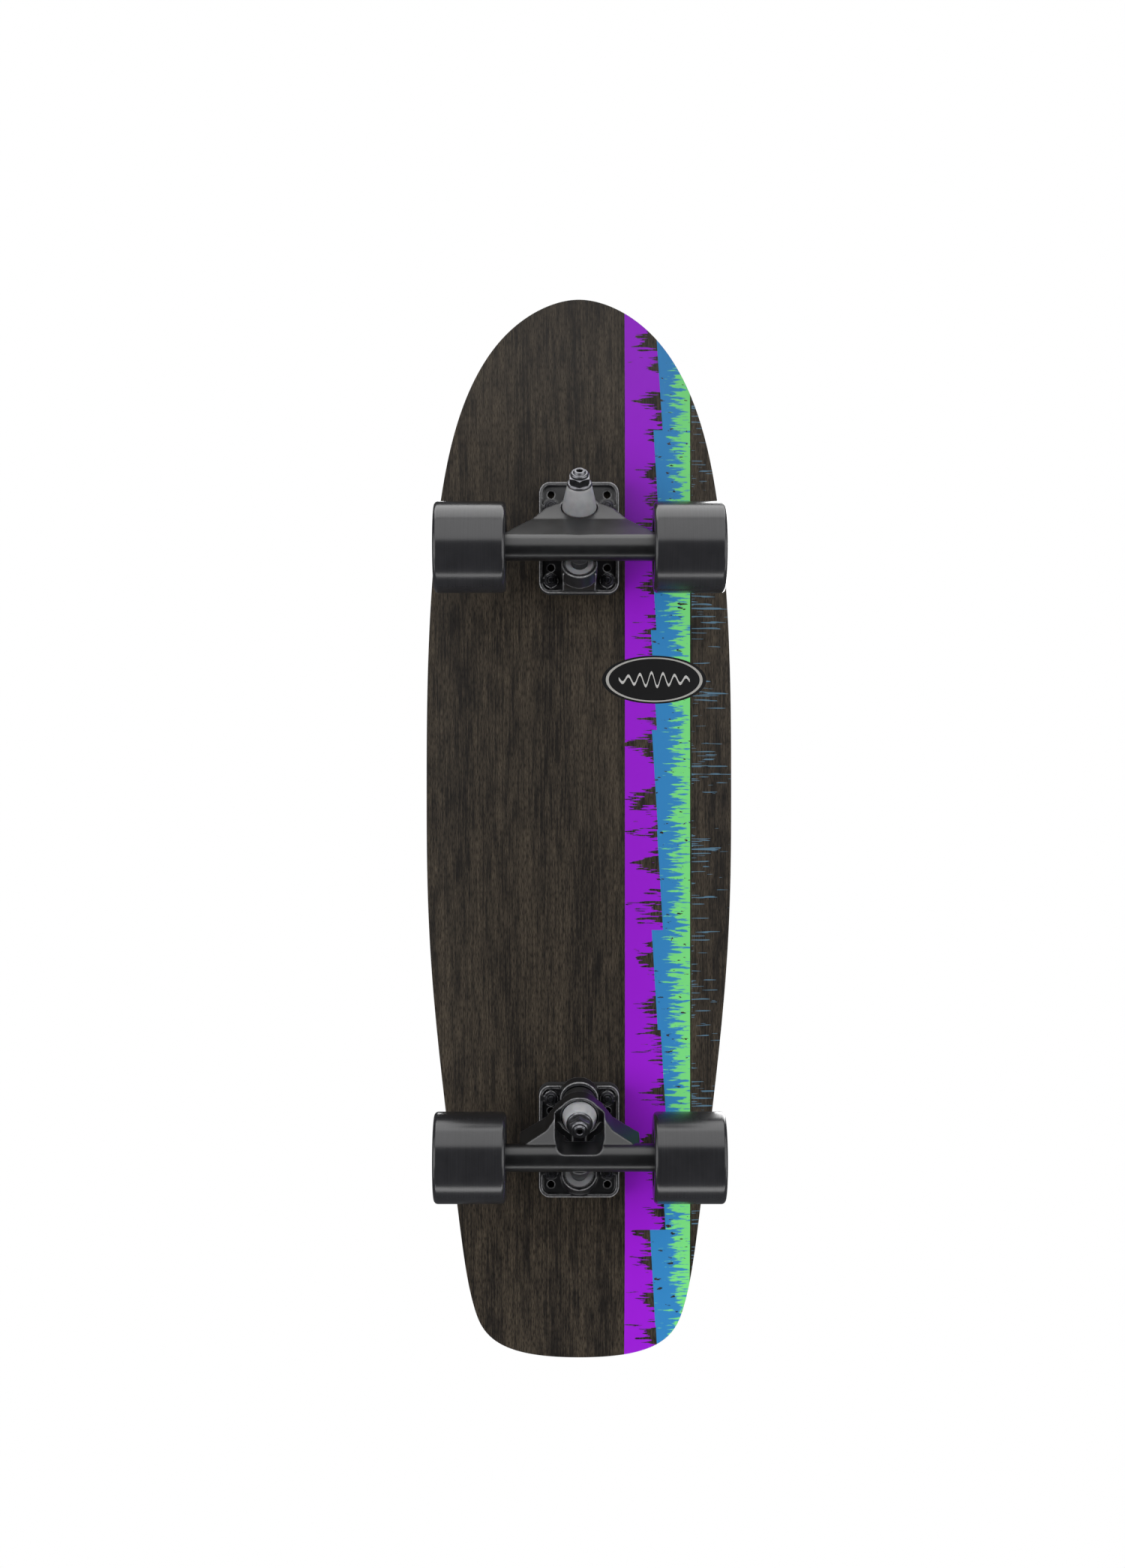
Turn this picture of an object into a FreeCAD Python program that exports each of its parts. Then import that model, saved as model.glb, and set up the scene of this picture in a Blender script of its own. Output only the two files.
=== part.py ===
import FreeCAD, Part
import math
import os
import re
import Sketcher

V = FreeCAD.Vector

# A surf-style skateboard: a seven-ply deck on a reverse-kingpin front truck and a
# traditional-kingpin rear truck.  The board stands on its wheels on z = 0, its nose towards -Y,
# its tail towards +Y and +X on the rider's left.
#
# Each truck is drawn in its own frame, whose origin is the middle of the baseplate's mounting
# face: "out" is measured along the board towards its near end, "down" towards the ground, and
# "along" is the distance from the hanger's ring down its kingpin.

SIZES = {
    # Deck: plan outline.  Stations are measured from the nearer end, insets from the widest half.
    "deck_length": 790,
    "deck_width": 226.5,
    "nose_tip_half": 17.8,
    "nose_shoulder_from_tip": 21.2,
    "nose_shoulder_inset": 50.5,
    "nose_flank_from_tip": 111.7,
    "nose_flank_inset": 11.3,
    "wide_start_from_nose": 256.8,
    "wide_middle_from_nose": 365,
    "wide_end_from_tail": 295,
    "tail_flank_from_tip": 100,
    "tail_flank_inset": 25.5,
    "tail_corner_from_tip": 37.6,
    "tail_corner_inset": 32,
    "tail_tip_half": 63.8,
    # Deck: thickness, concave and kicks
    "ply_count": 7,
    "ply_thickness": 1.55,
    "deck_edge_round": 2.5,
    "deck_flat_half": 35,
    "deck_rail_radius": 385,
    "nose_bend_from_tip": 110,
    "nose_bend_radius": 350,
    "nose_rise_angle": 8,
    "tail_bend_from_tip": 117,
    "tail_bend_radius": 250,
    "tail_rise_angle": 12,
    "blank_margin": 12,
    "grip_thickness": 0.9,
    "grip_edge_gap": 0.5,
    # Trucks along the board, and the pads under them
    "front_truck_from_nose": 179.5,
    "rear_truck_from_tail": 167.2,
    "front_riser_thickness": 3.2,
    "riser_overhang": 0.6,
    # Mounting hardware
    "bolt_spacing": 41.3,
    "outer_bolt_out": 22.2,
    "inner_bolt_out": -31.75,
    "spare_outer_hole_out": 31.75,
    "spare_inner_hole_out": -22.2,
    "bolt_diameter": 4.8,
    "bolt_clearance": 0.2,
    "bolt_head_diameter": 9.4,
    "bolt_head_height": 2.7,
    "bolt_head_proud": 0.3,
    "bolt_tip": 1.6,
    "mount_nut_flats": 9.5,
    "mount_nut_height": 5.5,
    # Baseplates
    "plate_length": 82,
    "plate_width": 58.5,
    "plate_thickness": 6,
    "plate_corner": 8,
    "plate_rim": 2.4,
    "plate_tray_depth": 2.5,
    "plate_hole_boss": 5.4,
    "seat_boss_radius": 14,
    "tower_wall": 3,
    "tower_back": 13,
    "front_rib_half": 12,
    "rear_rib_half": 5,
    # Front rib: its side outline runs from the seat boss past the pivot to the plate's inner end
    "rib_seat_near": 1,
    "rib_seat_far": 2,
    "rib_tower_out": 8.5,
    "rib_tower_up": 10.5,
    "rib_tip_in": 8,
    "rib_tip_down": 2.5,
    "rib_heel_inset": 3.5,
    "rib_heel_up": 10,
    "rib_foot_inset": 1.5,
    "rib_toe_out": 7.94,
    "rear_rib_seat_near": 3,
    # Kingpin, its bushings, washers and nut
    "kingpin_diameter": 9.52,
    "kingpin_bore_gap": 0.09,
    "kingpin_head_flats": 14.3,
    "kingpin_head_height": 4,
    "kingpin_tip": 1.5,
    "kingpin_center_hole": 2.2,
    "kingpin_nut_height": 8,
    "front_kingpin_web": 9,
    "rear_kingpin_web": 4.5,
    "front_kingpin_tilt": 50,
    "rear_kingpin_tilt": 22,
    "bushing_radius": 12.6,
    "bushing_bore_gap": 0.3,
    "bushing_seat_gap": 0.5,
    "bushing_edge": 1.6,
    "board_bushing_height": 15,
    "board_washer_radius": 13,
    "board_washer_thickness": 2,
    "washer_gap": 0.4,
    "front_road_bushing_height": 22,
    "rear_road_bushing_height": 12,
    "front_road_bushing_top": 9,
    "rear_road_bushing_top": 10.4,
    "front_road_washer_radius": 9.2,
    "rear_road_washer_radius": 9.6,
    "road_washer_thickness": 2.2,
    "road_washer_lip": 1.2,
    # Hangers: ring, axle bar and pivot, placed out and down from the mounting face
    "ring_radius": 15.5,
    "ring_thickness": 11,
    "ring_recess": 2.5,
    "ring_bore_radius": 7.5,
    "front_ring_out": 15,
    "front_ring_down": 29,
    "front_axle_out": -12.9,
    "front_axle_down": 62,
    "front_pivot_out": -23,
    "front_pivot_down": 47.5,
    "rear_ring_out": -24.3,
    "rear_ring_down": 31,
    "rear_axle_out": 4,
    "rear_axle_down": 54,
    "rear_pivot_out": 22,
    "rear_pivot_down": 12,
    "hanger_width": 130,
    "front_bar_radius": 9.75,
    "rear_bar_radius": 10,
    "front_web_thickness": 9,
    "web_bar_rise": 0.2,
    "front_web_neck_half": 24,
    "front_web_bar_half": 54,
    "rear_yoke_neck_half": 24,
    "rear_yoke_root": 10,
    "rear_yoke_bar_half": 43,
    "rear_scoop_half": 17.5,
    "rear_scoop_reach": 11,
    "rear_scoop_corner": 7,
    "pivot_radius": 6,
    "pivot_gap": 0.1,
    "cup_wall": 3.9,
    "cup_fit_gap": 0.05,
    "front_stem_root": 9,
    "rear_stem_root": 12,
    "stem_neck": 6.5,
    # Axle line
    "axle_diameter": 7.94,
    "axle_length": 203,
    "axle_gap": 0.05,
    "axle_end_chamfer": 1,
    "axle_nut_flats": 12.7,
    "axle_nut_height": 7,
    "speed_ring_thickness": 1,
    "speed_ring_radius": 6.5,
    "bearing_width": 7,
    "bearing_outer_radius": 11,
    "bearing_outer_land": 9.2,
    "bearing_inner_land": 5.8,
    "spacer_length": 10,
    "spacer_radius": 5.4,
    "ball_diameter": 3.96,
    "ball_pitch_radius": 7.5,
    "ball_count": 7,
    "ball_gap": 0.05,
    "cage_width": 5,
    "cage_wall": 1,
    "cage_pocket_gap": 0.1,
    "shield_thickness": 0.3,
    "shield_inset": 0.15,
    "shield_gap": 0.3,
    # Wheels
    "wheel_diameter": 65,
    "wheel_width": 51,
    "wheel_lip_radius": 3,
    "wheel_face_step": 2,
    "hub_mouth_radius": 18,
    "hub_throat_radius": 14.2,
    "core_radius": 17.5,
    "core_lip": 2,
    "core_web_bore": 9,
}

FORMULAS = {
    "deck_thickness": "ply_count * ply_thickness",
    "deck_half": "deck_width / 2",
    "blank_half": "deck_half + blank_margin",
    "blank_reach": "deck_length / 2 + blank_margin",
    "nose_bend_y": "deck_length / 2 - nose_bend_from_tip",
    "nose_bend_run": "nose_bend_radius * sin(nose_rise_angle)",
    "nose_bend_rise": "nose_bend_radius * (1 - cos(nose_rise_angle))",
    "nose_end_rise": "nose_bend_rise + (blank_reach - nose_bend_y - nose_bend_run)"
                     " * tan(nose_rise_angle)",
    "tail_bend_y": "deck_length / 2 - tail_bend_from_tip",
    "tail_bend_run": "tail_bend_radius * sin(tail_rise_angle)",
    "tail_bend_rise": "tail_bend_radius * (1 - cos(tail_rise_angle))",
    "tail_end_rise": "tail_bend_rise + (blank_reach - tail_bend_y - tail_bend_run)"
                     " * tan(tail_rise_angle)",
    "grip_inset": "deck_edge_round + grip_edge_gap",
    "wheel_radius": "wheel_diameter / 2",
    "deck_underside": "wheel_radius + front_axle_down + front_riser_thickness",
    "rear_riser_thickness": "front_axle_down + front_riser_thickness - rear_axle_down",
    "front_face_z": "deck_underside - front_riser_thickness",
    "rear_face_z": "deck_underside - rear_riser_thickness",
    "front_truck_y": "-(deck_length / 2 - front_truck_from_nose)",
    "rear_truck_y": "deck_length / 2 - rear_truck_from_tail",
    "seat_along": "ring_thickness / 2 - ring_recess + board_bushing_height"
                  " + board_washer_thickness",
    "bushing_face_along": "ring_thickness / 2 - ring_recess",
    "cup_radius": "pivot_radius + pivot_gap + cup_wall",
    "tower_radius": "cup_radius + tower_wall",
    "axle_bore_radius": "axle_diameter / 2 + axle_gap",
    "inner_bearing_x": "hanger_width / 2 + speed_ring_thickness + bearing_width / 2",
    "wheel_center_x": "inner_bearing_x + bearing_width / 2 + spacer_length / 2",
    "bearing_offset": "(spacer_length + bearing_width) / 2",
    "outer_bearing_x": "wheel_center_x + bearing_offset",
    "axle_nut_x": "outer_bearing_x + bearing_width / 2 + speed_ring_thickness",
    "groove_radius": "ball_diameter / 2 + ball_gap",
    "outer_groove_half": "sqrt(groove_radius^2 - (bearing_outer_land - ball_pitch_radius)^2)",
    "inner_groove_half": "sqrt(groove_radius^2 - (ball_pitch_radius - bearing_inner_land)^2)",
    "core_half": "spacer_length / 2 + bearing_width + core_lip",
    "wheel_half": "wheel_width / 2",
}
for truck in ("front", "rear"):
    FORMULAS[f"{truck}_stem_length"] = (
        f"sqrt(({truck}_axle_out - {truck}_pivot_out)^2"
        f" + ({truck}_axle_down - {truck}_pivot_down)^2)"
    )
    # The turn about X that points the stem from the axle bar to the pivot
    FORMULAS[f"{truck}_stem_turn"] = (
        f"atan2({truck}_axle_out - {truck}_pivot_out;"
        f" {truck}_axle_down - {truck}_pivot_down) / 1deg"
    )
    FORMULAS[f"{truck}_nut_along"] = (
        f"bushing_face_along + {truck}_road_bushing_height + road_washer_thickness"
    )
    FORMULAS[f"{truck}_tip_along"] = f"{truck}_nut_along + kingpin_nut_height + kingpin_tip"
    FORMULAS[f"{truck}_head_along"] = f"seat_along + {truck}_kingpin_web"

doc = FreeCAD.newDocument("skateboard")
sheet = doc.addObject("Spreadsheet::Sheet", "dims")
nodes = []


def fill_sheet():
    """Write every driving size, then every size worked out from them, one to a row."""
    rows = list(SIZES.items())
    rows += [(name, "=" + formula) for name, formula in FORMULAS.items()]
    for row, (name, entry) in enumerate(rows, start=1):
        sheet.set(f"A{row}", name)
        sheet.set(f"B{row}", str(entry))
        sheet.setAlias(f"B{row}", name)
    doc.recompute()


def expression(text):
    """The formula with each size's name pointing at its cell in the sheet."""
    known = SIZES.keys() | FORMULAS.keys()
    return re.sub(r"[a-z_]+", lambda word: "dims." + word[0] if word[0] in known else word[0], text)


def value(text):
    """The number that a formula gives now."""
    result = sheet.evalExpression(expression(text))
    return float(getattr(result, "Value", result))


def bind(thing, **settings):
    """Tie an object's properties to formulas."""
    for name, text in settings.items():
        thing.setExpression(name.replace("__", "."), expression(text))


# ---------------------------------------------------------------- bodies, sketches and features


def new_body(label):
    body = doc.addObject("PartDesign::Body", label)
    body.Label = label
    nodes.append(body)
    return body


def attach(thing, body, plane="XY_Plane", at=("0", "0", "0"), turn=None):
    """Lay a sketch or a primitive on one of its body's planes, moved and turned about X."""
    base = next(part for part in body.Origin.OriginFeatures if part.Role == plane)
    thing.AttachmentSupport = [(base, "")]
    thing.MapMode = "FlatFace"
    if turn:
        rotation = FreeCAD.Rotation(V(1, 0, 0), value(turn))
        thing.AttachmentOffset = FreeCAD.Placement(V(0, 0, 0), rotation)
        bind(thing, AttachmentOffset__Rotation__Angle=turn)
    bind(thing, **{f"AttachmentOffset__Base__{axis}": text for axis, text in zip("xyz", at)})


def new_sketch(body, name, plane="XY_Plane", at=("0", "0", "0"), turn=None):
    sketch = body.newObject("Sketcher::SketchObject", name)
    attach(sketch, body, plane, at, turn)
    return sketch


def hold(sketch, kind, first, first_end, second, second_end, text):
    """A sketch distance, tied to its formula."""
    number = sketch.addConstraint(
        Sketcher.Constraint(kind, first, first_end, second, second_end, value(text))
    )
    sketch.setExpression(f"Constraints[{number}]", expression(text))


def arc_between(start, end, radius, side):
    """The short arc from start to end; side is 1 with its centre to the left, -1 to the right."""
    chord = end - start
    across = V(-chord.y, chord.x, 0).normalize()
    depth = math.sqrt(max(radius ** 2 - (chord.Length / 2) ** 2, 0))
    center = (start + end) / 2 + across * depth * side
    middle = center - across * radius * side
    return Part.Arc(start, middle, end)


def outline(sketch, points, arcs=None, closed=True):
    """Lines through the points; arcs gives the radius and side of each edge that is round."""
    arcs = arcs or {}
    corners = [V(value(x), value(y), 0) for x, y in points]
    count = len(points)
    ends = []
    for index in range(count if closed else count - 1):
        start = corners[index]
        end = corners[(index + 1) % count]
        if index in arcs:
            radius, side = arcs[index]
            edge = sketch.addGeometry(arc_between(start, end, value(radius), side))
            number = sketch.addConstraint(Sketcher.Constraint("Radius", edge, value(radius)))
            sketch.setExpression(f"Constraints[{number}]", expression(radius))
        else:
            edge = sketch.addGeometry(Part.LineSegment(start, end))
        # A round edge always runs anticlockwise, so its first end may be the outline's second
        forward = sketch.getPoint(edge, 1).distanceToPoint(start) < 1e-6
        ends.append((edge, 1, 2) if forward else (edge, 2, 1))
    for index, (edge, _first, second) in enumerate(ends):
        if closed or index < len(ends) - 1:
            following = ends[(index + 1) % len(ends)]
            joint = Sketcher.Constraint("Coincident", edge, second, following[0], following[1])
            sketch.addConstraint(joint)
    for index, (x, y) in enumerate(points):
        edge, first, second = ends[min(index, len(ends) - 1)]
        end = first if index < len(ends) else second
        hold(sketch, "DistanceX", -1, 1, edge, end, x)
        hold(sketch, "DistanceY", -1, 1, edge, end, y)


def circle(sketch, x, y, radius):
    edge = sketch.addGeometry(Part.Circle(V(value(x), value(y), 0), V(0, 0, 1), value(radius)))
    number = sketch.addConstraint(Sketcher.Constraint("Radius", edge, value(radius)))
    sketch.setExpression(f"Constraints[{number}]", expression(radius))
    hold(sketch, "DistanceX", -1, 1, edge, 3, x)
    hold(sketch, "DistanceY", -1, 1, edge, 3, y)


def rounded_rectangle(sketch, half_x, half_y, corner):
    x, y, r = f"({half_x})", f"({half_y})", f"({corner})"
    points = [
        (f"-{x} + {r}", f"-{y}"), (f"{x} - {r}", f"-{y}"),
        (x, f"-{y} + {r}"), (x, f"{y} - {r}"),
        (f"{x} - {r}", y), (f"-{x} + {r}", y),
        (f"-{x}", f"{y} - {r}"), (f"-{x}", f"-{y} + {r}"),
    ]
    outline(sketch, points, {edge: (corner, 1) for edge in (1, 3, 5, 7)})


def hexagon(sketch, x, y, flats):
    """A hexagon across the given flats, one corner towards +x."""
    points = [
        (f"({x}) + ({flats}) / sqrt(3) * cos({turn})", f"({y}) + ({flats}) / sqrt(3) * sin({turn})")
        for turn in range(0, 360, 60)
    ]
    outline(sketch, points)


def extrude(kind, body, sketch, name, length, symmetric=False, backwards=False):
    """A Pad or a Pocket of the sketch."""
    feature = body.newObject(f"PartDesign::{kind}", name)
    feature.Profile = sketch
    feature.Midplane = symmetric
    feature.Reversed = backwards
    bind(feature, Length=length)
    return feature


def primitive(kind, body, name, at, turn=None, **sizes):
    """A cylinder, cone or sphere added to the body or taken from it."""
    feature = body.newObject(f"PartDesign::{kind}", name)
    attach(feature, body, "XY_Plane", at, turn)
    bind(feature, **sizes)
    return feature


def revolve(body, name, loops, arcs=None):
    """Spin closed outlines, drawn as (radius, height), about the body's Z axis."""
    sketch = new_sketch(body, f"{name}_profile", "XZ_Plane")
    for loop in loops:
        outline(sketch, loop, arcs)
    feature = body.newObject("PartDesign::Revolution", name)
    feature.Profile = sketch
    feature.ReferenceAxis = (sketch, ["V_Axis"])
    feature.Angle = 360
    return feature


def ring(inner, outer, low, high):
    """A rectangle for a plain ring."""
    return [(inner, low), (outer, low), (outer, high), (inner, high)]


# ---------------------------------------------------------------- places

OUTWARD = {"front": "-1", "rear": "1"}
SIDES = {"left": "1", "right": "-1"}


def in_truck(body, truck):
    """Stand a piece drawn in the truck's frame under the deck."""
    if truck == "front":
        body.Placement = FreeCAD.Placement(V(0, 0, 0), FreeCAD.Rotation(V(0, 0, 1), 180))
    bind(body, Placement__Base__y=f"{truck}_truck_y", Placement__Base__z=f"{truck}_face_z")


def turned_in_truck(body, truck, out, down, turn):
    """Stand a round piece at a point of the truck, its Z axis turned about X."""
    turn = f"{OUTWARD[truck]} * ({turn})"
    body.Placement = FreeCAD.Placement(V(0, 0, 0), FreeCAD.Rotation(V(1, 0, 0), value(turn)))
    bind(
        body,
        Placement__Rotation__Angle=turn,
        Placement__Base__y=f"{truck}_truck_y + {OUTWARD[truck]} * ({out})",
        Placement__Base__z=f"{truck}_face_z - ({down})",
    )


def on_kingpin(body, truck):
    """Z runs down the kingpin from the middle of the hanger's ring."""
    turned_in_truck(
        body, truck, f"{truck}_ring_out", f"{truck}_ring_down", f"180 + {truck}_kingpin_tilt"
    )


def on_axle(body, truck, side="left", x="0"):
    """Z runs along the axle, outwards on the given side."""
    quarter = 90 if side == "left" else -90
    body.Placement = FreeCAD.Placement(V(0, 0, 0), FreeCAD.Rotation(V(0, 1, 0), quarter))
    bind(
        body,
        Placement__Base__x=f"{SIDES[side]} * ({x})",
        Placement__Base__y=f"{truck}_truck_y + {OUTWARD[truck]} * ({truck}_axle_out)",
        Placement__Base__z=f"{truck}_face_z - {truck}_axle_down",
    )


def beside_kingpin(truck, across, along):
    """A point of the truck's side view, across and along from the ring, as (out, up)."""
    tilt = f"{truck}_kingpin_tilt"
    return (
        f"{truck}_ring_out + ({across}) * cos({tilt}) + ({along}) * sin({tilt})",
        f"-{truck}_ring_down + ({across}) * sin({tilt}) - ({along}) * cos({tilt})",
    )


def bolt_places(truck):
    """The four bolts of one truck, in the board's frame."""
    for side in ("1", "-1"):
        for out in ("outer_bolt_out", "inner_bolt_out"):
            yield f"{side} * bolt_spacing / 2", f"{truck}_truck_y + {OUTWARD[truck]} * {out}"


# ---------------------------------------------------------------- deck and grip tape


def deck_outline(name, inset):
    """The plan outline as two mirrored cubic splines, drawn in by the given inset."""
    widest = value("deck_half") - inset
    half_length = value("deck_length") / 2
    nose = -half_length
    tail = half_length
    poles = [
        (0, nose + inset),
        (value("nose_tip_half"), nose + inset),
        (widest - value("nose_shoulder_inset"), nose + value("nose_shoulder_from_tip") + inset),
        (widest - value("nose_flank_inset"), nose + value("nose_flank_from_tip")),
        (widest, nose + value("wide_start_from_nose")),
        (widest, nose + value("wide_middle_from_nose")),
        (widest, tail - value("wide_end_from_tail")),
        (widest - value("tail_flank_inset"), tail - value("tail_flank_from_tip")),
        (widest - value("tail_corner_inset"), tail - value("tail_corner_from_tip") - inset / 2),
        (value("tail_tip_half") - inset, tail - inset),
        (0, tail - inset),
    ]
    inner_knots = len(poles) - 4
    edges = []
    for side in (1, -1):
        spline = Part.BSplineCurve()
        spline.buildFromPolesMultsKnots(
            [V(side * x, y, 0) for x, y in poles],
            [4] + [1] * inner_knots + [4],
            list(range(inner_knots + 2)),
            False,
            3,
        )
        edges.append(spline.toShape())
    shape = doc.addObject("Part::Feature", name)
    shape.Shape = Part.Face(Part.Wire(edges))
    return shape


def blank(name, low, high):
    """A pressed sheet between two heights above the deck's underside, before it is cut out."""
    path = doc.addObject("Sketcher::SketchObject", f"{name}_path")
    path.Placement = FreeCAD.Placement(V(0, 0, 0), FreeCAD.Rotation(V(1, 1, 1), 120))
    points = [
        ("-blank_reach", "nose_end_rise"),
        ("-nose_bend_y - nose_bend_run", "nose_bend_rise"),
        ("-nose_bend_y", "0"),
        ("tail_bend_y", "0"),
        ("tail_bend_y + tail_bend_run", "tail_bend_rise"),
        ("blank_reach", "tail_end_rise"),
    ]
    bends = {1: ("nose_bend_radius", 1), 3: ("tail_bend_radius", 1)}
    outline(path, points, bends, closed=False)

    section = doc.addObject("Sketcher::SketchObject", f"{name}_section")
    tilt = "90 - nose_rise_angle"
    rotation = FreeCAD.Rotation(V(1, 0, 0), value(tilt))
    section.Placement = FreeCAD.Placement(V(0, 0, 0), rotation)
    bind(
        section,
        Placement__Rotation__Angle=tilt,
        Placement__Base__y="-blank_reach",
        Placement__Base__z="nose_end_rise",
    )
    run = "blank_half - deck_flat_half"

    def rail_height(level):
        radius = f"(deck_rail_radius - ({level}))"
        return f"deck_rail_radius - sqrt({radius}^2 - ({run})^2)"

    low_radius = f"deck_rail_radius - ({low})"
    high_radius = f"deck_rail_radius - ({high})"
    points = [
        ("-deck_flat_half", low), ("deck_flat_half", low),
        ("blank_half", rail_height(low)), ("blank_half", rail_height(high)),
        ("deck_flat_half", high), ("-deck_flat_half", high),
        ("-blank_half", rail_height(high)), ("-blank_half", rail_height(low)),
    ]
    rails = {1: (low_radius, 1), 3: (high_radius, -1), 5: (high_radius, -1), 7: (low_radius, 1)}
    outline(section, points, rails)

    sheet_blank = doc.addObject("Part::Sweep", f"{name}_blank")
    sheet_blank.Sections = [section]
    sheet_blank.Spine = (path, [f"Edge{number}" for number in range(1, 6)])
    sheet_blank.Solid = True
    return sheet_blank


def cut_out(name, pressed, inset):
    """The pressed sheet inside the plan outline."""
    plan = deck_outline(f"{name}_outline", inset)
    cutter = doc.addObject("Part::Extrusion", f"{name}_cutter")
    cutter.Base = plan
    cutter.DirMode = "Custom"
    cutter.Dir = V(0, 0, 1)
    cutter.Solid = True
    bind(cutter, LengthFwd="nose_end_rise + tail_end_rise + 60", LengthRev="20")
    result = doc.addObject("Part::Common", f"{name}_cut_out")
    result.Base = pressed
    result.Tool = cutter
    return result


def upright(kind, name, x, y, z, **sizes):
    """A Part cylinder or cone standing at a point of the board."""
    shape = doc.addObject(f"Part::{kind}", name)
    bind(shape, Placement__Base__x=x, Placement__Base__y=y, Placement__Base__z=z, **sizes)
    return shape


def bolt_shapes(name, widen, shank_low, extra):
    """Eight shanks with countersunk heads, widened for a hole; extra lifts the straight top."""
    shapes = []
    head_top = "deck_thickness + bolt_head_proud"
    for truck in ("front", "rear"):
        for number, (x, y) in enumerate(bolt_places(truck)):
            at = f"{name}_{truck}_{number}"
            low = shank_low[truck]
            shapes.append(upright(
                "Cylinder", f"{at}_shank", x, y, low,
                Radius=f"bolt_diameter / 2 + {widen}",
                Height=f"{head_top} - bolt_head_height / 2 - ({low})",
            ))
            shapes.append(upright(
                "Cone", f"{at}_head", x, y, f"{head_top} - bolt_head_height",
                Radius1=f"bolt_diameter / 2 + {widen}",
                Radius2=f"bolt_head_diameter / 2 + {widen}",
                Height="bolt_head_height",
            ))
            if extra:
                shapes.append(upright(
                    "Cylinder", f"{at}_mouth", x, y, head_top,
                    Radius=f"bolt_head_diameter / 2 + {widen}", Height=extra,
                ))
    group = doc.addObject("Part::MultiFuse", name)
    group.Shapes = shapes
    return group


def deck_and_grip():
    holes = bolt_shapes("bolt_holes", "bolt_clearance", {"front": "-5", "rear": "-5"}, "10")

    board = cut_out("deck", blank("deck", "0", "deck_thickness"), 0)
    doc.recompute()
    faces = [
        face for face in board.Shape.Faces
        if abs(face.normalAt(*face.Surface.parameter(face.CenterOfMass)).z) > 0.5
    ]
    rim = []
    for number, edge in enumerate(board.Shape.Edges, start=1):
        touching = sum(any(edge.isSame(other) for other in face.Edges) for face in faces)
        if touching == 1:
            rim.append((number, value("deck_edge_round"), value("deck_edge_round")))
    rounded = doc.addObject("Part::Fillet", "deck_rounded")
    rounded.Base = board
    rounded.Edges = rim
    deck = doc.addObject("Part::Cut", "deck")
    deck.Base = rounded
    deck.Tool = holes
    grip = doc.addObject("Part::Cut", "grip_tape")
    grip_sheet = blank("grip", "deck_thickness", "deck_thickness + grip_thickness")
    grip.Base = cut_out("grip", grip_sheet, value("grip_inset"))
    grip.Tool = holes
    for piece in (deck, grip):
        piece.Label = piece.Name
        bind(piece, Placement__Base__z="deck_underside")
        nodes.append(piece)


def mounting_hardware():
    tips = {
        truck: f"{truck}_face_z - deck_underside - plate_thickness - mount_nut_height - bolt_tip"
        for truck in ("front", "rear")
    }
    bolts = bolt_shapes("mount_bolts", "0", tips, None)
    bolts.Label = "mount_bolts"
    bind(bolts, Placement__Base__z="deck_underside")
    nodes.append(bolts)

    nuts = new_body("mount_nuts")
    for truck in ("front", "rear"):
        low = f"{truck}_face_z - plate_thickness - mount_nut_height"
        sketch = new_sketch(nuts, f"{truck}_nut_plan", at=("0", "0", low))
        for x, y in bolt_places(truck):
            hexagon(sketch, x, y, "mount_nut_flats")
            circle(sketch, x, y, "bolt_diameter / 2")
        extrude("Pad", nuts, sketch, f"{truck}_nuts", "mount_nut_height")


# ---------------------------------------------------------------- truck: what is bolted down


def plate_holes(sketch, radius):
    """The eight holes of both mounting patterns."""
    outs = ("outer_bolt_out", "inner_bolt_out", "spare_outer_hole_out", "spare_inner_hole_out")
    for out in outs:
        for side in ("1", "-1"):
            circle(sketch, f"{side} * bolt_spacing / 2", out, radius)


def riser_pad(truck):
    body = new_body(f"{truck}_riser_pad")
    plan = new_sketch(body, f"{truck}_riser_plan")
    rounded_rectangle(
        plan,
        "plate_width / 2 + riser_overhang",
        "plate_length / 2 + riser_overhang",
        "plate_corner + riser_overhang",
    )
    plate_holes(plan, "bolt_diameter / 2 + bolt_clearance")
    extrude("Pad", body, plan, f"{truck}_riser", f"{truck}_riser_thickness")
    in_truck(body, truck)


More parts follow.
